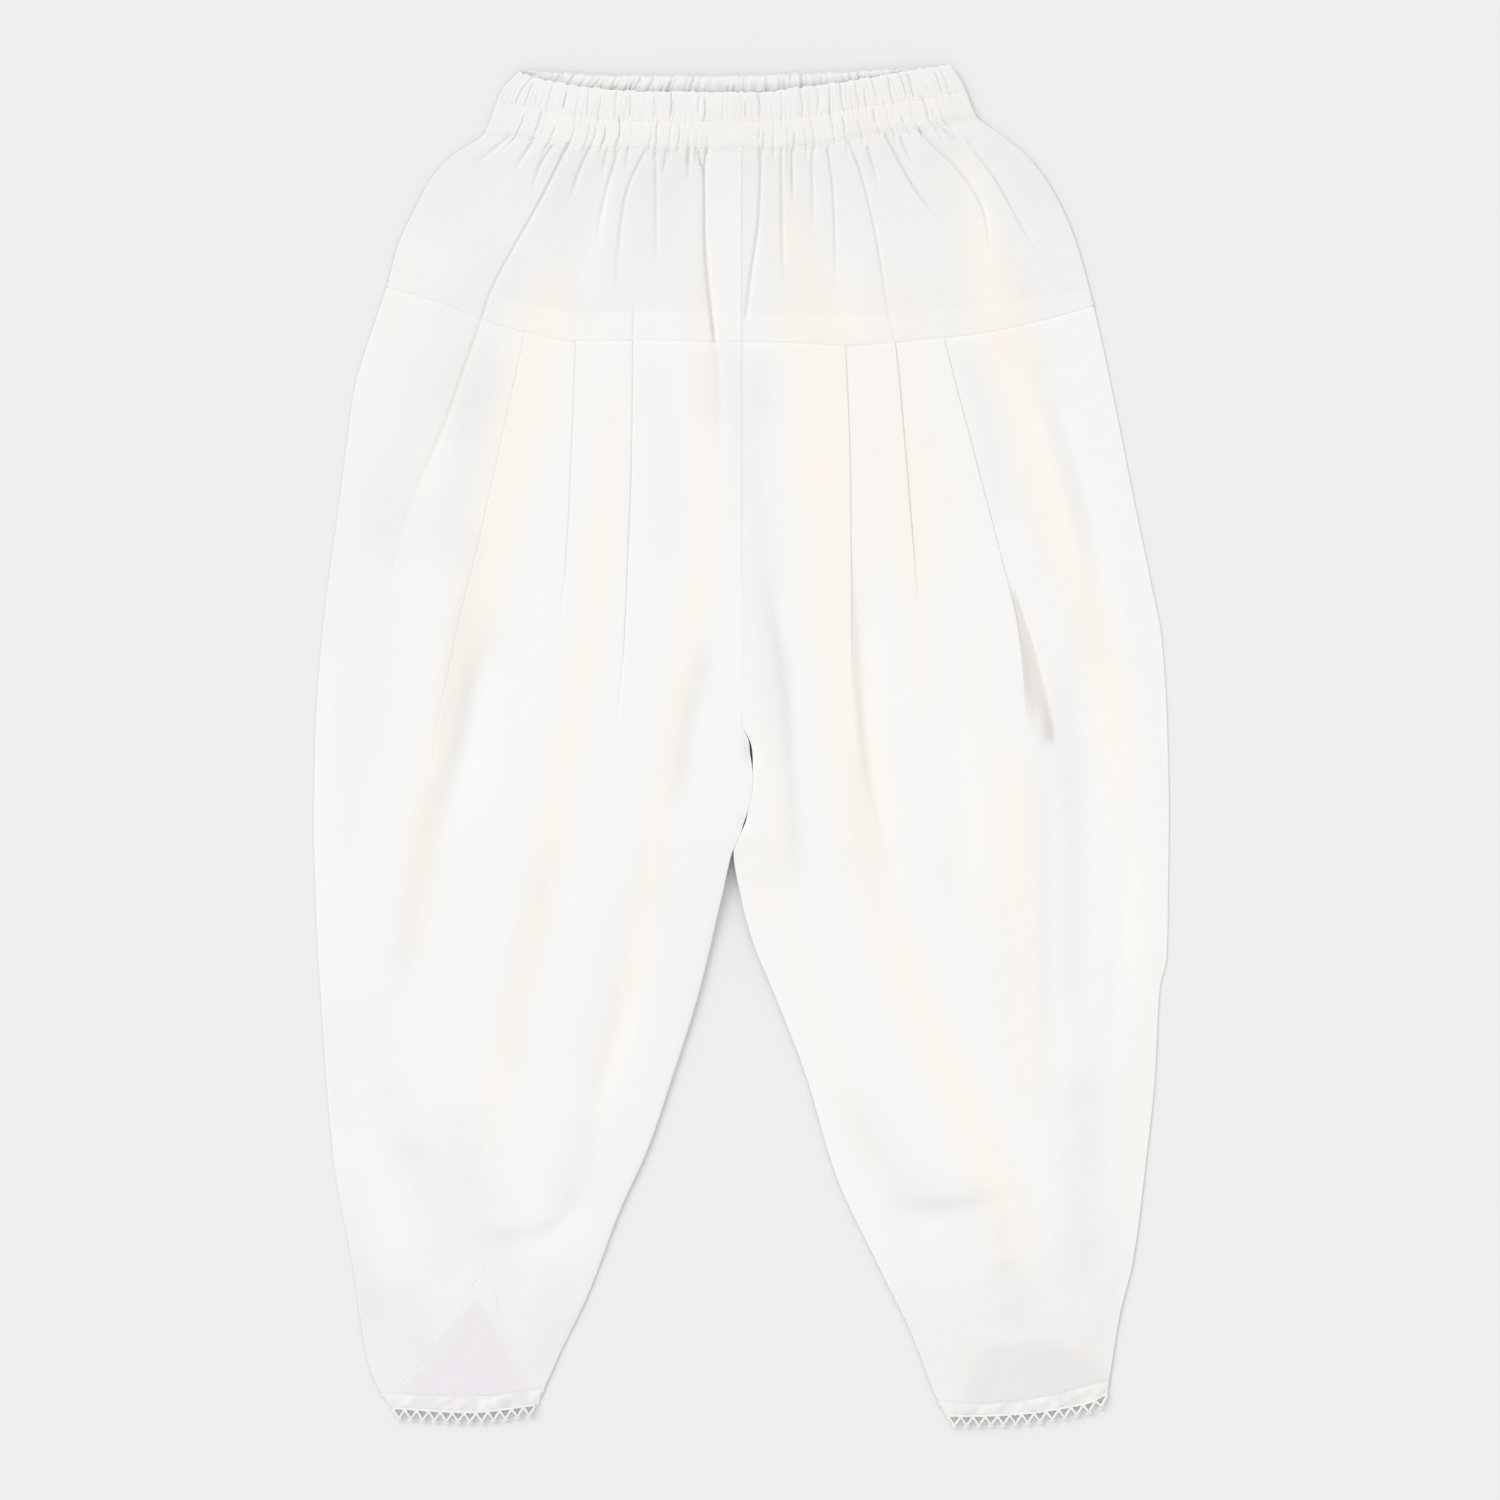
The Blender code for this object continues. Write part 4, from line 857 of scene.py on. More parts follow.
def gather_troughs(place, t, shares, first, last, seed, stagger=0.28, fan=0.0):
    """Uneven narrow gathers of the elastic casing, each over its own stretch from first to last."""
    rng = np.random.RandomState(seed)
    total = np.zeros(np.broadcast(place, t).shape)
    reach = last - first
    for share in shares[1:-1]:
        depth, width = rng.uniform(0.35, 1.0), rng.uniform(0.35, 0.65)
        high = first + reach * rng.uniform(0.0, stagger)
        low = last - reach * rng.uniform(0.0, 0.7 * stagger)
        lean = rng.uniform(-1.0, 1.0) + fan * (2 * share - 1)
        stretch = ease(high - 0.04, high + 0.05, t) * (1 - ease(low - 0.05, low + 0.04, t))
        middle = share * BAND_WIDTH + lean * (t - (first + last) / 2) / reach
        middle = middle + 0.35 * np.sin(t * rng.uniform(7.0, 15.0) + rng.uniform(0, 6.0))
        total += depth * stretch * hump(place, middle, width)
    return np.minimum(total, 1.15)


def short_gathers(x, down):
    """The gathers that die out just below the band, one for each crease of its lower half."""
    place = band_share(x, down) * BAND_WIDTH
    below = down - band_bottom(x)
    width = 0.7 * (0.9 + 0.03 * np.maximum(below, 0))
    total = np.zeros(x.shape)
    for k, share in enumerate(LOWER_SHARES):
        length = 7.0 + 5.0 * math.sin(k * 2.3) + 2.0 * math.sin(k * 5.1)
        fade = 1 - ease(0.2 * length, length, below)
        total -= 0.75 * fade * hump(place, share * BAND_WIDTH, width)
    return total


def yoke_front_z(x, down):
    top = front_z(x, down, 0.0 * x) + short_gathers(x, down)
    return top - 0.3 * hump(down, band_bottom(x), 2.0)


def settle(line_at, top, foot, shares, columns):
    """Where each column crosses each row's level, which lies between top(x) and foot(x)."""
    down = np.full((len(shares), columns), 200.0)
    for _ in range(SETTLE_PASSES):
        x = line_at(down)
        down = mix(top(x), foot(x), np.asarray(shares)[:, None])
    return line_at(down), down


def columns_between(windows, fills):
    """Columns as (line, next line, share, offset): each line's own window, then a fill to the next."""
    out = []
    for k, offsets in enumerate(windows):
        out += [(k, k, 0.0, offset) for offset in offsets]
        if k + 1 < len(windows):
            shares = np.arange(1, count(fills[k]) + 1) / (count(fills[k]) + 1)
            out += [(k, k + 1, share, mix(offsets[-1], windows[k + 1][0], share)) for share in shares]
    return out


def laid_out(windows, fills, lines, outward, top, foot, shares):
    """The x and down of a grid whose columns follow the lines and whose rows lie from top to foot."""
    columns = columns_between(windows, fills)

    def line_at(down):
        x = np.empty(down.shape)
        for c, (first, second, share, offset) in enumerate(columns):
            at = lines[first](down[:, c])
            if second != first:
                at = mix(at, lines[second](down[:, c]), share)
            x[:, c] = at + offset * outward
        return x

    return settle(line_at, top, foot, shares, len(columns))


def with_lips(grid, above, below, tucked=False):
    """Adds rows past a grid's top and foot, each (down, z) away. Tucked ones stay in from the sides."""
    x, down, z = grid
    first = [(x[0], down[0] + step, z[0] + rise) for step, rise in above]
    if tucked:
        first = [(np.clip(a, side_left(b) + 1.5, side_right(b) - 1.5), b, c) for a, b, c in first]
    last = [(x[-1], down[-1] + step, z[-1] + rise) for step, rise in below]
    return [np.vstack([[row[k] for row in first], grid[k], [row[k] for row in last]]) for k in range(3)]


def padded(masks, back_columns):
    """The front's masks, carried on over its lips, with none on the back."""
    for key, values in masks.items():
        values = np.pad(values, ((2, 2), (0, 0)), mode="edge")
        masks[key] = np.pad(values, ((0, 0), (0, back_columns)))
    return masks


def world_points(x, down, z):
    return np.stack([x, TOP_Y - down, np.maximum(z, 0.02)], axis=-1)


def grid_index(rows, columns):
    return np.arange(rows * columns).reshape(rows, columns)


def tube_grid(front, back, weld_from=math.inf):
    """Joins a front and a back grid at the side, and at the inner edge below weld_from."""
    x, down, z = (np.hstack([f, b[:, 1:]]) for f, b in zip(front, back))
    index = grid_index(*x.shape)
    rows = down[:, 0] >= weld_from
    index[rows, -1] = index[rows, 0]
    return world_points(x, down, z), index


def closed_grid(front, back):
    """Joins a front and a back grid at both ends: x, down and z, and the vertex numbers."""
    grid = [np.hstack([f, b[:, 1:-1]]) for f, b in zip(front, back)]
    index = grid_index(*grid[0].shape)
    return grid, np.hstack([index, index[:, :1]])


def linked(name, data):
    """A new object in the scene."""
    item = bpy.data.objects.new(name, data)
    bpy.context.scene.collection.objects.link(item)
    return item


def cloth_object(name, points, index, flip, masks):
    """A smooth mesh over a grid of vertex numbers. Equal numbers weld the grid's edges together."""
    a, b = index[:-1, :-1].ravel(), index[:-1, 1:].ravel()
    c, d = index[1:, 1:].ravel(), index[1:, :-1].ravel()
    quads = np.stack([a, b, c, d], axis=1)
    if flip:
        quads = quads[:, ::-1]
    used, numbers = np.unique(quads, return_inverse=True)
    faces = [list(dict.fromkeys(face)) for face in numbers.reshape(quads.shape).tolist()]
    faces = [face for face in faces if len(face) > 2]
    mesh = bpy.data.meshes.new(name)
    mesh.from_pydata((points.reshape(-1, 3)[used] * MM).tolist(), [], faces)
    for mask, values in masks.items():
        layer = mesh.attributes.new(name=mask, type="FLOAT", domain="POINT")
        layer.data.foreach_set("value", values.reshape(-1)[used].astype(np.float32))
    mesh.shade_smooth()
    mesh.update()
    return linked(name, mesh)


# How far columns stand from a folded edge, from a pleat's line and from the edges of the back
EDGE = (0.0, 0.05, 0.15, 0.35, 0.65, 1.1, 1.7, 2.4, 3.2, 4.2, 5.4)
EDGE_IN = tuple(-offset for offset in EDGE[::-1])
WINDOW = (-3.0, -2.2, -1.6, -1.25, -0.95, -0.7, -0.5, -0.3, -0.1)
WINDOW = WINDOW + tuple(-offset for offset in WINDOW[::-1])
MOUTH_WINDOW = {"left": (), "right": tuple(np.arange(3.6, 10.0, 0.6))}
CENTRE_WINDOW = (0.0, 0.02, 0.3, 0.7, 1.2)
BACK_EDGE = (0.0, 0.25, 0.65, 1.2, 2.0, 3.0)
BACK_EDGE_IN = tuple(-offset for offset in BACK_EDGE)
BACK_CENTRE = (1.0, 0.3, 0.0)


def patch_mask(x, down, corners, soft):
    """1 inside a convex outline, 0 outside, with a soft edge."""
    inside = np.ones(x.shape)
    middle_x, middle_down = np.mean(np.array(corners), axis=0)
    for (ax, ay), (bx, by) in zip(corners, corners[1:] + corners[:1]):
        length = math.hypot(bx - ax, by - ay)
        distance = ((x - ax) * (by - ay) - (down - ay) * (bx - ax)) / length
        inwards = (middle_x - ax) * (by - ay) - (middle_down - ay) * (bx - ax)
        inside *= ease(-soft, soft, distance * math.copysign(1, inwards))
    return inside


def leg_masks(x, down, side):
    """The casts and tones of a leg's front, with its painted warm light, painted shade and painted
    highlights.
    """
    patch = patch_mask(x, down, *PATCHES[side])
    mouth = pleat_mouth(x, down)[1]
    tone = DOUBLED_CENTRE_TONE * ((x > -DOUBLED_CENTRE) & (x < 0)) * (1 - ease(150, 215, down))
    tone = tone - SEAM_SHADE * hump(x, -0.1, 0.6) * (1 - ease(200, 300, down))
    tone = tone - CORE_SHADE * crease_cores(YOKE_CREASES, x, down)
    tone = tone + ANKLE_TONES[side] * ease(*ANKLE, down)
    tone = tone - cast_at(SHADE_AND_HIGHLIGHT_CASTS, x, down) - MOUTH_SHADE * mouth
    warm = np.clip(cast_at(PAINTED_WARM_CASTS, x, down), 0, MOST_WARMTH) + MOUTH_SHADE_WARMTH * mouth
    lilac = np.clip(cast_at(LILAC_CASTS, x, down), 0, 1)
    return {
        "warm": warm * (1 - patch),
        "lilac": np.maximum(lilac, PATCH_LILAC[side] * patch),
        "layers": mix(tone, PATCH_TONES[side], patch),
    }


def make_leg(side):
    """A leg's front and back as one tube, with allowances turned in under the yoke and the hem."""
    leg = LEGS[side]
    inner = lambda down: leg.inner(down) + leg.outward * fork_gap(down)
    names = ("centre", "pleat_3", "pleat_2", "pleat_1", "outer")
    lines = [inner] + [leg.lines[name] for name in names] + [leg.side]
    windows = [EDGE, (0.0,), WINDOW, WINDOW, WINDOW + MOUTH_WINDOW[side], (0.0,), EDGE_IN]
    levels = (leg.outward, yoke_seam, leg.hem_top, np.linspace(0, 1, count(LEG_ROWS)))
    x, down = laid_out(windows, LEG_FILLS, lines, *levels)
    rise, drawn = pleat_fields(x, down, leg)
    from_inner = np.abs(x - inner(down))
    z = mix(fold_z(x, down), front_z(x, down, rise), roll(side_distance(x, down)))
    z -= FOLD_DROP * apart(down) * (1 - roll(from_inner))
    below_fork = ease(398, 440, down) * (1 - ease(635, 660, down))
    z -= INNER_TAPER[side] * below_fork * np.exp(-from_inner / 1.3)
    z -= 0.1 * hump(np.maximum(leg.hem_top(x) - down, 0), 0, 1.5)

    back_windows = [BACK_EDGE_IN, BACK_EDGE[::-1]]
    bx, bd = laid_out(back_windows, [LEG_BACK_COLUMNS], [leg.side, inner], *levels)
    bz = mix(back_z(bx, bd), z[:, -1:], back_lift(side_distance(bx, bd), z[:, -1:]))
    inner_lift = ease(330, FORK_END, bd) * back_lift(np.abs(bx - inner(bd)), z[:, :1])
    bz = mix(bz, z[:, :1], inner_lift)

    front = with_lips([x + drawn, down, z], ((-2.6, -1.4), (-0.8, -0.7)), ((0.6, -0.25), (2.0, -0.5)))
    back = with_lips([bx, bd, bz], ((-2.6, 0.7), (-0.8, 0.35)), ((0.6, 0.1), (2.0, 0.2)))
    points, index = tube_grid(front, back, FORK_END + 1.0)
    masks = padded(leg_masks(x, down, side), bx.shape[1] - 1)
    return cloth_object(f"leg_{side}", points, index, side == "right", masks)


def yoke_masks(x, down):
    """The casts and tones of the yoke's front: painted shade, painted highlights and painted warm light,
    paler where the pressed allowances lie under it.
    """
    above = yoke_seam(x) - down
    strip = ease(0.0, 0.6, above) * (1 - ease(-0.6, 0.6, above - allowance_width(x)))
    strip = strip * (0.2 + 0.8 * ease(-130, -114, x) * (1 - 0.5 * ease(5, 45, x)))
    beside_centre = (x > -CENTRE_ALLOWANCE) & (x < 0.0)
    # The yoke's painted shade, less on the paler strips over the allowances
    tone = np.maximum(mix(YOKE_PAINTED_SHADE, STRIP_TONE, strip), mix(YOKE_PAINTED_SHADE, CENTRE_TONE, beside_centre))
    tone = tone - 0.7 * cast_at(SHADE_AND_HIGHLIGHT_CASTS, x, down) - SEAM_SHADE * hump(x, -0.1, 0.6)
    tone = tone - CORE_SHADE * crease_cores(YOKE_CREASES, x, down)
    tone = tone - BELOW_BAND_SHADE * (1 - ease(40, 95, down))
    warm = np.clip(cast_at(PAINTED_WARM_CASTS, x, down) + STRIP_WARMTH * strip, 0, MOST_WARMTH)
    return {"layers": tone, "warm": warm, "lilac": np.zeros(x.shape)}


def make_yoke(side):
    """A half of the hip yoke as one tube: its top goes up inside the band, its foot turns under."""
    leg = LEGS[side]
    centre = lambda down: np.zeros(np.shape(down))
    levels = (leg.outward, band_bottom, yoke_seam, np.linspace(0, 1, count(YOKE_ROWS)))
    x, down = laid_out([CENTRE_WINDOW, EDGE_IN], [YOKE_COLUMNS], [centre, leg.side], *levels)
    z = mix(fold_z(x, down), yoke_front_z(x, down), roll(side_distance(x, down)))
    back_windows = [BACK_EDGE_IN, BACK_CENTRE]
    bx, bd = laid_out(back_windows, [YOKE_BACK_COLUMNS], [leg.side, centre], *levels)
    bz = np.minimum(back_z(bx, bd) - 0.25 * short_gathers(-bx, bd), 1.6)
    bz = mix(bz, z[:, -1:], back_lift(side_distance(bx, bd), z[:, -1:]))
    bz[:, -1] += 0.8
    front = with_lips([x, down, z], ((-5.0, -0.9), (-1.2, -0.9)), ((0.1, -0.05), (-1.0, -0.8)), True)
    back = with_lips([bx, bd, bz], ((-5.0, 0.6), (-1.2, 0.6)), ((0.05, 0.3), (-1.0, 0.6)), True)
    points, index = tube_grid(front, back)
    masks = padded(yoke_masks(x, down), bx.shape[1] - 1)
    return cloth_object(f"yoke_{side}", points, index, side == "right", masks)


def band_troughs(t, x, down):
    """The front casing's gathers: longer above the middle stitch row, short and staggered below it."""
    place = band_share(x, down) * BAND_WIDTH
    total = gather_troughs(place, t, UPPER_SHARES, -0.02, 0.58, 1, 0.4, 0.5)
    total += gather_troughs(place, t, LOWER_SHARES, 0.42, 1.06, 2, 0.6, 0.9)
    total += 0.25 * gather_troughs(place, t, FINE_SHARES, 0.0, 0.62, 3, 0.6)
    total += 0.15 * gather_troughs(place, t, FINE_SHARES, 0.4, 0.95, 4, 0.7, 0.5)
    return total * (1 - 0.8 * ease(0.5, 0.56, t) * hump(x, -7.5, 10.0))


def band_front_outer(share, t, x, down):
    """The height of the outer face of the band's front."""
    puff = BAND_PUFF * np.sin(np.pi * (t * 2 % 1.0))
    slow = 0.45 * value_noise(share * BAND_WIDTH, t * 30, 13.0, 5)
    outer = body(x, down) + BAND_RAISE + puff + slow - BAND_GATHER * band_troughs(t, x, down)
    outer = outer - 0.12 * hump(t, 0.5, 0.03)
    return mix(outer, yoke_front_z(x, down) + 0.4, ease(0.84, 1.0, t)) - 0.6 * ease(1.0, 1.04, t)


def band_front_inner(share, t, x, down):
    gathers = gather_troughs(share * BAND_WIDTH, t, UPPER_SHARES, -0.1, 0.6, 1)
    return body(x, down) - BAND_THICKNESS - 0.8 * gathers


def band_back_outer(share, t, x, down):
    gathers = gather_troughs(share * BAND_WIDTH, t, BACK_SHARES, -0.1, 1.1, 7)
    return 0.3 + 0.6 * gathers + (BACK_TOP_Z - 2.2) * (1 - ease(0.0, 0.4, t))


def band_back_troughs(share, t):
    troughs = gather_troughs(share * BAND_WIDTH, t, BACK_SHARES, -0.1, 0.9, 6)
    return troughs + 0.35 * gather_troughs(share * BAND_WIDTH, t, FINE_SHARES, -0.1, 0.9, 8)


def band_back_inner(share, t, x, down):
    level = mix(BACK_TOP_Z, BACK_INSIDE_Z, ease(0.1, 0.5, t))
    return level - BACK_GATHER_DEPTH * band_back_troughs(share, t)


def back_top(x):
    """The back's top edge, which stays under the front's near the right end."""
    return band_top_back(x) + 2.4 * ease(80, 90, x)


def shares_across(end, first, columns):
    """Shares from 0 to 1, closer together at both ends."""
    end = np.array(end)
    return np.concatenate([end, np.linspace(first, 1 - first, count(columns)), 1 - end[::-1]])


def end_distance(share):
    """How far a share of the band's width is from the nearer end, in millimetres."""
    return np.minimum(share, 1 - share) * BAND_MEAN_WIDTH


# The band's rows as shares of its height, its outer face upwards and its inner face downwards, and
# the angles of the rows round its top edge
BAND_OUTER_ROWS = np.concatenate([[1.05], np.linspace(1.0, 0.06, count(36))])
BAND_INNER_ROWS = np.linspace(0.06, 0.55, 8)
BAND_EDGE_ANGLES = np.linspace(0, math.pi, 8)[1:-1]


def band_layer(share, top, outer_z, inner_z, fold_only):
    """A layer of the casing: outer face, rounded top edge and the inside as far as it could show."""
    near = end_distance(share)
    inner_rise = 0.45 * roll(near, 2.4) + 0.55 * (1 - np.exp(-near / 5.0))
    outer_rise = roll(near, 1.4) if fold_only else inner_rise

    def face(rows, inset, height, rise):
        line_at = lambda down: mix(side_left(down) + inset, side_right(down) - inset, share)
        x, down = settle(line_at, top, band_bottom, rows, len(share))
        return np.array([x, down, mix(fold_z(x, down), height(share, rows[:, None], x, down), rise)])

    outer = face(BAND_OUTER_ROWS, 0.0, outer_z, outer_rise)
    inner = face(BAND_INNER_ROWS, BAND_INSET, inner_z, inner_rise)
    least, more = BAND_EDGE_BULGE
    bulge = least + more * value_noise(share * BAND_WIDTH, 0 * share, 1.9, 41)
    edge = []
    for angle in BAND_EDGE_ANGLES:
        row = mix(outer[:, -1], inner[:, 0], (1 - math.cos(angle)) / 2)
        row[1] -= math.sin(angle) * bulge
        edge.append(row)
    return np.concatenate([outer, np.stack(edge, axis=1), inner], axis=1)


def band_masks(x, down, wide, reverse):
    """The casing's casts and tones, with painted shade in its gathers, at its left end, on its top rim and
    inside the back, and painted light on that inside. Its front takes the first `wide` columns, its back the
    others.
    """
    outer, inner, edge = len(BAND_OUTER_ROWS), len(BAND_INNER_ROWS), len(BAND_EDGE_ANGLES)
    warm = 0.2 + 0.08 * ease(-115, -70, x) + 0.1 * ease(-10, 60, x) + 0.2 * value_noise(x, down, 11.0, 31)
    outer_warmth = mix(0.75, 1.15, ease(0.3, 0.6, BAND_OUTER_ROWS))
    warm *= np.concatenate([outer_warmth, np.linspace(0.8, 0.2, edge), np.full(inner, 0.15)])[:, None]
    tone = BAND_TONE * np.ones(x.shape)
    front_x, front_down = x[:outer, :wide], down[:outer, :wide]
    # Painted shade in the front's gathers and at its left end
    tone[:outer, :wide] -= GATHER_SHADE * band_troughs(BAND_OUTER_ROWS[:, None], front_x, front_down)
    tone[:outer, :wide] -= BAND_END_SHADE * (1 - ease(-122, -92, front_x))
    # Painted light on the back's rounded top edge and its inside, and painted shade on that edge
    tone[outer:, wide:] += INSIDE_PAINTED_LIGHT
    tone[outer:-inner, wide:] -= RIM_SHADE
    inside_x, inside_down = x[-inner:, wide:], down[-inner:, wide:]
    # Painted shade inside the back, deepest just above the front's top edge, and in its gathers
    near = ease(-3.5, 0.4, inside_down - band_top_front(inside_x))
    troughs = band_back_troughs(reverse[None, 1:-1], BAND_INNER_ROWS[:, None])
    tone[-inner:, wide:] -= mix(*INSIDE_GATHER_SHADES, near) * troughs + INSIDE_SHADE * near
    return {"warm": warm, "layers": tone, "lilac": np.zeros(x.shape)}


def make_band():
    """The gathered casing as one ring: its front, and its back, whose inside shows over the front."""
    shares = shares_across((0, 0.0012, 0.003, 0.0055, 0.009, 0.0135), 0.019, BAND_COLUMNS)
    reverse = shares[::-3].copy()
    reverse[-1] = 0.0
    front = band_layer(shares, band_top_front, band_front_outer, band_front_inner, True)
    back = band_layer(reverse, back_top, band_back_outer, band_back_inner, False)
    # The back stays under the front wherever the front covers it
    under = ease(-1.6, -0.4, back[1] - band_top_front(back[0]))
    back[2] = mix(back[2], np.minimum(back[2], 0.8 * body(back[0], back[1]) - 0.5), under)
    (x, down, z), index = closed_grid(front, back)
    masks = band_masks(x, down, len(shares), reverse)
    return cloth_object("waistband", world_points(x, down, z), index, False, masks)


def hem_dents(x, down):
    """A slanting bump in the right hem and the dent beside it."""
    along = x - 0.9 * (down - 668)
    return 0.5 * hump(along, 146.0, 3.0) - 0.5 * hump(along, 141.0, 2.2)


def hem_section(leg, share, front):
    """The rows of a hem's front or back, from its top edge round its foot and up inside."""
    line_at = lambda down: mix(leg.inner(down) + leg.outward * 0.3, leg.side(down), share)
    x, down = settle(line_at, lambda x: leg.hem_top(x) - 0.1, leg.hem_foot, HEM_ROWS, len(share))
    t = np.array(HEM_ROWS)[:, None]
    edge = roll(np.minimum(share, 1 - share) * HEM_WIDTH, 1.0 if front else 3.0)
    out = np.abs(x)
    if front:
        pucker = 0.16 * np.sin(out / 1.45 + 0.8 * np.sin(out / 6.3))
        pucker = (pucker + 0.7 * value_noise(x + 0.6 * down, down, 4.2, 9)) * (1 - 0.35 * t)
        pucker = (pucker + hem_dents(x, down)) * ease(0.0, 0.3, t)
        z = front_z(x, down, 0.0 * x) - 0.05 + 0.45 * np.sin(np.pi * t) + pucker
    else:
        z = 0.35 + 0.12 * np.sin(out / 1.7) + 0.2 * hump(t, 0, 0.1)
    z = mix(fold_z(x, down), z, edge)
    rows = [[x, down, z]]
    inside = z[-1:] + (-0.9 if front else 0.5) * edge
    for fall, share_in in ((0.35, 0.25), (0.45, 0.7), (-0.6, 1.0), (-3.0, 1.0)):
        rows.append([x[-1:], down[-1:] + fall, mix(z[-1:], inside, share_in)])
    return [np.vstack([row[k] for row in rows]) for k in range(3)]


def make_hem(side):
    """The narrow turned hem as one ring, slightly puckered by its sewing."""
    leg = LEGS[side]
    shares = shares_across((0.0, 0.003, 0.008, 0.016, 0.026, 0.038), 0.05, HEM_COLUMNS)
    back_shares = shares_across((0.0, 0.008, 0.025), 0.05, HEM_BACK_COLUMNS)[::-1]
    (x, down, z), index = closed_grid(hem_section(leg, shares, True), hem_section(leg, back_shares, False))
    patchy = value_noise(x, down, 5.0, 23)
    masks = {
        "warm": HEM_WARMTH[side] + 0.15 * patchy,
        "layers": HEM_TONES[side] + 0.9 * patchy,
        "lilac": np.full(x.shape, HEM_LILAC[side]),
    }
    return cloth_object(f"hem_{side}", world_points(x, down, z), index, side == "right", masks)


def cord(path, radius, twist_pitch, sides=9):
    """Vertices and faces of a cord along a path, its radius waving as a twisted thread's does."""
    path = np.asarray(path, dtype=float)
    along = np.gradient(path, axis=0)
    along /= np.linalg.norm(along, axis=1)[:, None]
    across = np.cross(along, (0.0, 0.0, 1.0))
    across /= np.maximum(np.linalg.norm(across, axis=1), 1e-9)[:, None]
    over = np.cross(across, along)
    angle = np.arange(sides) / sides * 2 * math.pi
    turn = line_lengths(path)[:, None] / twist_pitch * 2 * math.pi
    r = radius * (1 + 0.13 * np.cos(2 * (angle[None, :] - turn)))
    r[[0, -1]] *= 0.25
    points = (path[:, None, :] + across[:, None, :] * (r * np.cos(angle))[..., None]
              + over[:, None, :] * (r * np.sin(angle))[..., None])
    index = grid_index(len(path), sides)
    index = np.hstack([index, index[:, :1]])
    quads = np.stack([index[:-1, :-1], index[:-1, 1:], index[1:, 1:], index[1:, :-1]], axis=-1)
    caps = [list(range(sides))[::-1], index[-1, :-1].tolist()]
    return points.reshape(-1, 3), quads.reshape(-1, 4).tolist() + caps


def joined_object(name, cords):
    """One mesh of many cords, each given as its vertices and faces."""
    vertices, faces, base = [], [], 0
    for points, own in cords:
        vertices.append(points)
        faces += [[v + base for v in face] for face in own]
        base += len(points)
    mesh = bpy.data.meshes.new(name)
    mesh.from_pydata((np.vstack(vertices) * MM).tolist(), [], faces)
    mesh.shade_smooth()
    return linked(name, mesh)


def lace_path(foot, xs, depths, z):
    """A path at some depth below the hem's foot."""
    xs = np.asarray(xs, dtype=float)
    return np.stack([xs, TOP_Y - (foot(xs) + np.asarray(depths)), np.broadcast_to(z, xs.shape)], axis=1)


def lace_point(foot, first, middle, last, wobble, low):
    """A point of the edging: two cords that meet, the picot's loop below them and two knots."""
    s = np.linspace(0, 1, 12)
    arch = np.sin(np.pi * s)
    cords = []
    for start, end in ((first - 0.05, middle + 0.1), (last + 0.05, middle - 0.1)):
        xs = mix(start, end, s) + 0.12 * arch * math.copysign(1, start - middle)
        path = lace_path(foot, xs, mix(-0.1, LACE_DEPTH + wobble, s), low + 0.15 * arch)
        cords.append(cord(path, CORD_RADIUS, CORD_TWIST))
    loop = np.linspace(-0.2, math.pi + 0.2, 11)
    depths = LACE_DEPTH + wobble + PICOT_DEPTH * np.sin(loop)
    path = lace_path(foot, middle + PICOT_WIDTH * np.cos(loop), depths, low - 0.15)
    cords.append(cord(path, CHAIN_RADIUS, PICOT_TWIST))
    for place, (above, below, radius) in ((first, HIGH_KNOT), (middle, LOW_KNOT)):
        depths = np.linspace(above, below, 6) + wobble
        path = lace_path(foot, np.full(6, place), depths, low - 0.1)
        cords.append(cord(path, radius, CORD_TWIST))
    return cords


def make_lace(side):
    """The crochet edging: a chain along the hem with a row of open points below it, in two layers."""
    foot = LEGS[side].hem_foot
    start, end, number = LACE_RUNS[side]
    pitch = (end - start) / number
    cords = []
    for low in LACE_LEVELS:
        xs = np.linspace(start, end, number * 14)
        chain = 0.12 * np.sin((xs - start) / pitch * 2 * math.pi * 3)
        cords.append(cord(lace_path(foot, xs, chain - 0.2, low + 0.1), CHAIN_RADIUS, CHAIN_TWIST))
        for k in range(number):
            places = [start + pitch * (k + share) for share in (0, 0.5, 1)]
            cords += lace_point(foot, *places, 0.12 * math.sin(k * 3.7), low)
    return joined_object(f"lace_{side}", cords)


def stitch(x, y, z, angle):
    """One stitch: a short rounded bar that dips into the cloth at both ends."""
    s = np.linspace(-1, 1, 7)
    reach = s * STITCH_LENGTH / 2
    height = z + STITCH_RISE - STITCH_DIP * s**4
    path = [x + math.cos(angle) * reach, y + math.sin(angle) * reach, height]
    return cord(np.stack(path, axis=1), STITCH_RADIUS, STITCH_TWIST, 5)


def stitches_along(line, z_at, pitch):
    """Stitches along a line of (x, down), on the surface whose height z_at gives."""
    length = line_lengths(line)
    places = (np.arange(int(length[-1] / pitch)) + 0.5) * pitch
    xs, downs = (np.interp(places, length, line[:, k]) for k in (0, 1))
    ahead_x, ahead_down = (np.interp(places + 0.5, length, line[:, k]) for k in (0, 1))
    angles = np.arctan2(downs - ahead_down, ahead_x - xs)
    return [stitch(*place) for place in zip(xs, TOP_Y - downs, z_at(xs, downs), angles)]


def leg_surface(x, down):
    """The leg front's height at single places, for what is sewn on it."""
    rises = [pleat_fields(x, down, LEGS[side])[0] for side in ("left", "right")]
    top = front_z(x, down, np.where(x < 0, *rises))
    return mix(fold_z(x, down), top, roll(side_distance(x, down)))


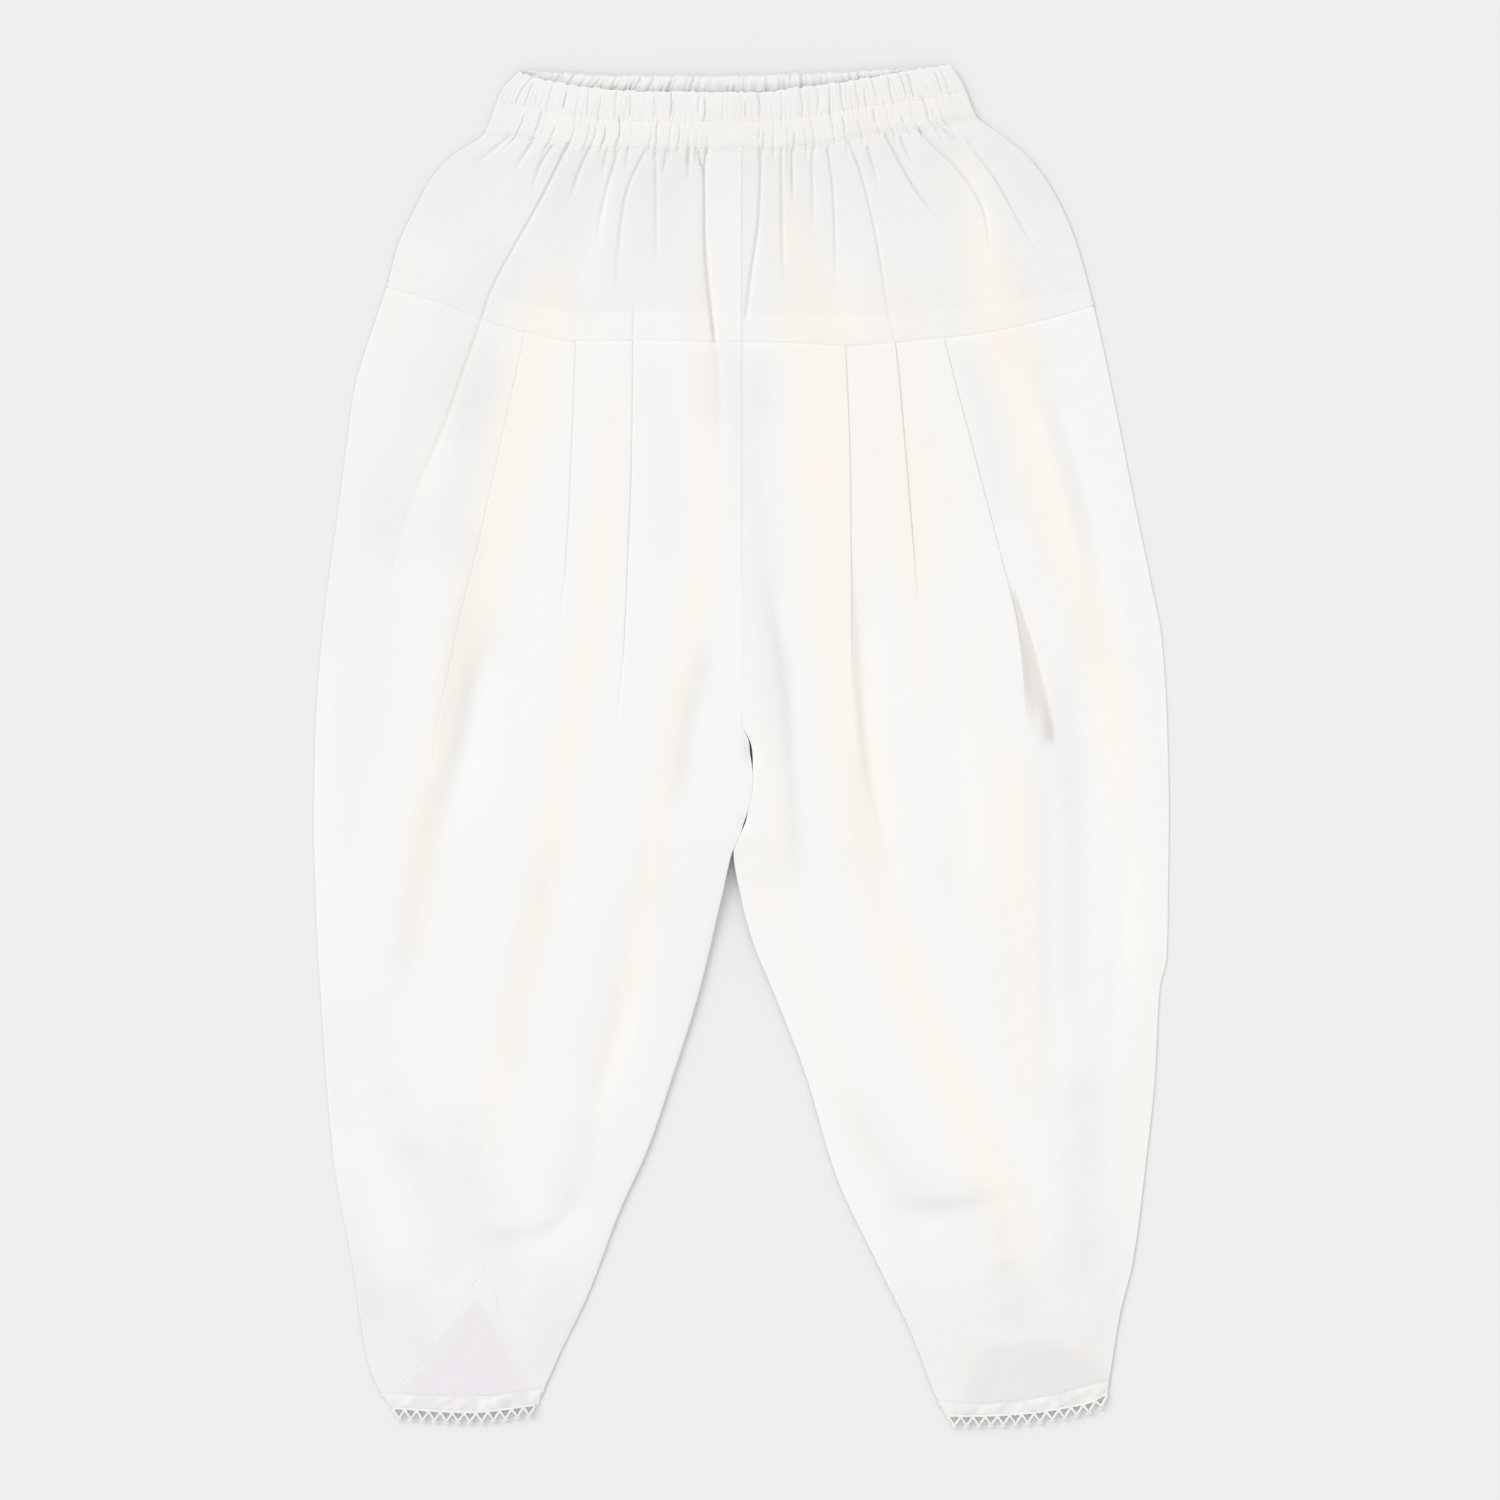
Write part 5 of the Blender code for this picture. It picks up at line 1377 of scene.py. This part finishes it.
def band_surface(x, down):
    """The casing front's height at single places."""
    share = (x - side_left(down)) / (side_right(down) - side_left(down))
    t = (down - band_top_front(x)) / (band_bottom(x) - band_top_front(x))
    return mix(fold_z(x, down), band_front_outer(share, t, x, down), roll(end_distance(share), 1.4))


def make_stitches():
    """The casing's two rows of stitches, and the two seams above the left hem."""
    xs = np.linspace(-120, 112, 400)
    cords = []
    for downs in (mix(band_top_front(xs), band_bottom(xs), 0.5), band_bottom(xs) - BAND_BASTING):
        on_band = side_distance(xs, downs) > 2.5
        line = np.stack([xs[on_band], downs[on_band]], axis=1)
        cords += stitches_along(line, band_surface, BAND_STITCH_PITCH)
    band = joined_object("stitches_waistband", cords)
    cords = []
    for seam in PATCH_SEAMS:
        cords += stitches_along(smooth_line(seam, 12), leg_surface, ANKLE_STITCH_PITCH)
    return band, joined_object("stitches_ankles", cords)


def new_group(name, inputs, outputs):
    """A shader node group with its sockets, and its input and output nodes."""
    group = bpy.data.node_groups.new(name, "ShaderNodeTree")
    for label, kind in inputs:
        group.interface.new_socket(label, in_out="INPUT", socket_type=kind)
    for label, kind in outputs:
        group.interface.new_socket(label, in_out="OUTPUT", socket_type=kind)
    return group, group.nodes.new("NodeGroupInput"), group.nodes.new("NodeGroupOutput")


def node(tree, kind, **settings):
    item = tree.nodes.new(kind)
    for key, value in settings.items():
        setattr(item, key, value)
    return item


def math_node(tree, operation, a, b, clamp=False):
    item = node(tree, "ShaderNodeMath", operation=operation, use_clamp=clamp)
    for socket, value in zip(item.inputs, (a, b)):
        if isinstance(value, (int, float)):
            socket.default_value = value
        else:
            tree.links.new(value, socket)
    return item.outputs[0]


def noise_node(tree, vector, scale, stretch, detail=2.0):
    mapping = node(tree, "ShaderNodeMapping")
    mapping.inputs["Scale"].default_value = stretch
    tree.links.new(vector, mapping.inputs["Vector"])
    noise = node(tree, "ShaderNodeTexNoise")
    noise.inputs["Scale"].default_value = scale
    noise.inputs["Detail"].default_value = detail
    tree.links.new(mapping.outputs["Vector"], noise.inputs["Vector"])
    return noise.outputs["Fac"]


def weave_group():
    """Plain weave with slubs: uneven threads along and across, as a height from about 0 to 1."""
    group, _, out = new_group("plain_weave", [], [("Height", "NodeSocketFloat")])
    place = node(group, "ShaderNodeTexCoord").outputs["Object"]
    warp = noise_node(group, place, THREAD_SCALE, (1.0, THREAD_STRETCH, 1.0))
    weft = noise_node(group, place, THREAD_SCALE, (THREAD_STRETCH, 1.0, 1.0))
    slubs = noise_node(group, place, SLUB_SCALE, (1.0, 0.6, 1.0), 3.0)
    threads = math_node(group, "MULTIPLY", math_node(group, "ADD", warp, weft), 0.35)
    total = math_node(group, "ADD", threads, math_node(group, "MULTIPLY", slubs, 0.5))
    group.links.new(total, out.inputs["Height"])
    return group


def tint_group():
    """White cotton's colour under its casts, and paler or darker by its tone, which carries painted shade
    and painted light.
    """
    number = "NodeSocketFloat"
    group, into, out = new_group(
        "cotton_tint",
        [("Base", "NodeSocketColor"), ("Warm", number), ("Lilac", number), ("Tone_and_shade", number)],
        [("Color", "NodeSocketColor")],
    )
    place = node(group, "ShaderNodeTexCoord").outputs["Object"]
    cloud = noise_node(group, place, CLOUD_SCALE, (1.0, 0.5, 1.0), 3.0)
    cloud = math_node(group, "MULTIPLY", math_node(group, "SUBTRACT", cloud, 0.5), 0.5)
    warm = math_node(group, "ADD", into.outputs["Warm"], cloud, clamp=True)
    colour = into.outputs["Base"]
    for amount, tint in ((warm, WARM_TINT), (into.outputs["Lilac"], LILAC_TINT)):
        blend = node(group, "ShaderNodeMix", data_type="RGBA", blend_type="MULTIPLY")
        group.links.new(amount, blend.inputs["Factor"])
        group.links.new(colour, blend.inputs[6])
        blend.inputs[7].default_value = tint
        colour = blend.outputs[2]
    tone = math_node(group, "MULTIPLY", into.outputs["Tone_and_shade"], TONE_GAIN)
    scale = node(group, "ShaderNodeVectorMath", operation="SCALE")
    group.links.new(colour, scale.inputs[0])
    group.links.new(math_node(group, "ADD", tone, 1.0), scale.inputs["Scale"])
    group.links.new(scale.outputs["Vector"], out.inputs["Color"])
    return group


def cloth_material(name, base, groups, bump, distance, roughness):
    """Matte woven cotton, tinted by its mesh's casts and tones with their painted light and shade, and with
    a bump as deep as its threads.
    """
    tint, weave = groups
    material = bpy.data.materials.new(name)
    material.use_nodes = True
    tree = material.node_tree
    shader = tree.nodes["Principled BSDF"]
    shader.inputs["Roughness"].default_value = roughness
    shader.inputs["Sheen Weight"].default_value = SHEEN
    shader.inputs["Sheen Roughness"].default_value = SHEEN_ROUGHNESS
    shader.inputs["Specular IOR Level"].default_value = CLOTH_SPECULAR
    colour = node(tree, "ShaderNodeGroup", node_tree=tint)
    colour.inputs["Base"].default_value = base
    for label, mask in (("Warm", "warm"), ("Lilac", "lilac"), ("Tone_and_shade", "layers")):
        source = node(tree, "ShaderNodeAttribute", attribute_name=mask)
        tree.links.new(source.outputs["Fac"], colour.inputs[label])
    tree.links.new(colour.outputs["Color"], shader.inputs["Base Color"])
    threads = node(tree, "ShaderNodeGroup", node_tree=weave)
    relief = node(tree, "ShaderNodeBump")
    relief.inputs["Strength"].default_value = bump
    relief.inputs["Distance"].default_value = distance
    tree.links.new(threads.outputs["Height"], relief.inputs["Height"])
    tree.links.new(relief.outputs["Normal"], shader.inputs["Normal"])
    return material


def floor_material():
    """Plain matte pale grey."""
    material = bpy.data.materials.new("floor_white")
    material.use_nodes = True
    shader = material.node_tree.nodes["Principled BSDF"]
    shader.inputs["Base Color"].default_value = FLOOR_COLOUR
    shader.inputs["Roughness"].default_value = FLOOR_ROUGHNESS
    shader.inputs["Specular IOR Level"].default_value = FLOOR_SPECULAR
    return material


def make_floor():
    """A plain pale floor far wider than the view."""
    mesh = bpy.data.meshes.new("floor")
    corners = [(x * FLOOR_REACH, y * FLOOR_REACH, 0) for x, y in ((-1, -1), (1, -1), (1, 1), (-1, 1))]
    mesh.from_pydata(corners, [], [(0, 1, 2, 3)])
    mesh.materials.append(floor_material())
    linked("floor", mesh)


def make_light():
    """A broad soft light from the upper left, and an even white fill."""
    world = bpy.data.worlds.new("soft_fill")
    world.use_nodes = True
    background = world.node_tree.nodes["Background"]
    background.inputs["Color"].default_value = (1.0, 1.0, 1.0, 1.0)
    background.inputs["Strength"].default_value = FILL_STRENGTH
    bpy.context.scene.world = world
    light = bpy.data.lights.new("key", "SUN")
    light.energy = KEY_STRENGTH
    light.angle = math.radians(KEY_ANGLE)
    key = linked("key", light)
    key.rotation_euler = [math.radians(turn) for turn in KEY_TILT] + [0.0]


def make_camera():
    """The camera straight above, as in the photo."""
    data = bpy.data.cameras.new("camera")
    data.lens = CAMERA_LENS
    data.sensor_width = CAMERA_SENSOR
    camera = linked("camera", data)
    camera.location = CAMERA_PLACE
    bpy.context.scene.camera = camera
    bpy.context.scene.view_settings.view_transform = "Standard"


def dress(piece, material):
    piece.data.materials.append(material)
    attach(piece, "root")


def make_pieces():
    """Every piece in its material, by name, and the stitches on the waistband and the left ankle."""
    groups = (tint_group(), weave_group())
    cotton = cloth_material("white_cotton", COTTON, groups, 0.55, 0.0004, 0.9)
    casing = cloth_material("casing_cotton", CASING, groups, 0.55, 0.0004, 0.9)
    crochet = {
        side: cloth_material(f"crochet_thread_{side}", colour, groups, 0.4, 0.0002, 0.85)
        for side, colour in CROCHET.items()
    }
    thread = cloth_material("sewing_thread", THREAD, groups, 0.3, 0.0001, 0.8)
    pieces = {}
    for side in ("left", "right"):
        for part, make in (("leg", make_leg), ("yoke", make_yoke), ("hem", make_hem)):
            pieces[f"{part}_{side}"] = make(side)
            dress(pieces[f"{part}_{side}"], cotton)
        pieces[f"lace_{side}"] = make_lace(side)
        dress(pieces[f"lace_{side}"], crochet[side])
    pieces["waistband"] = make_band()
    dress(pieces["waistband"], casing)
    band_stitches, ankle_stitches = make_stitches()
    dress(band_stitches, thread)
    dress(ankle_stitches, thread)
    return pieces, band_stitches, ankle_stitches


def main():
    make_floor()
    make_light()
    make_camera()
    pieces, band_stitches, ankle_stitches = make_pieces()
    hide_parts("waistband_front", "waistband_back")
    for side in ("left", "right"):
        for part in ("leg", "yoke", "hem", "lace"):
            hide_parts(f"{part}_front_{side}", f"{part}_back_{side}")


main()
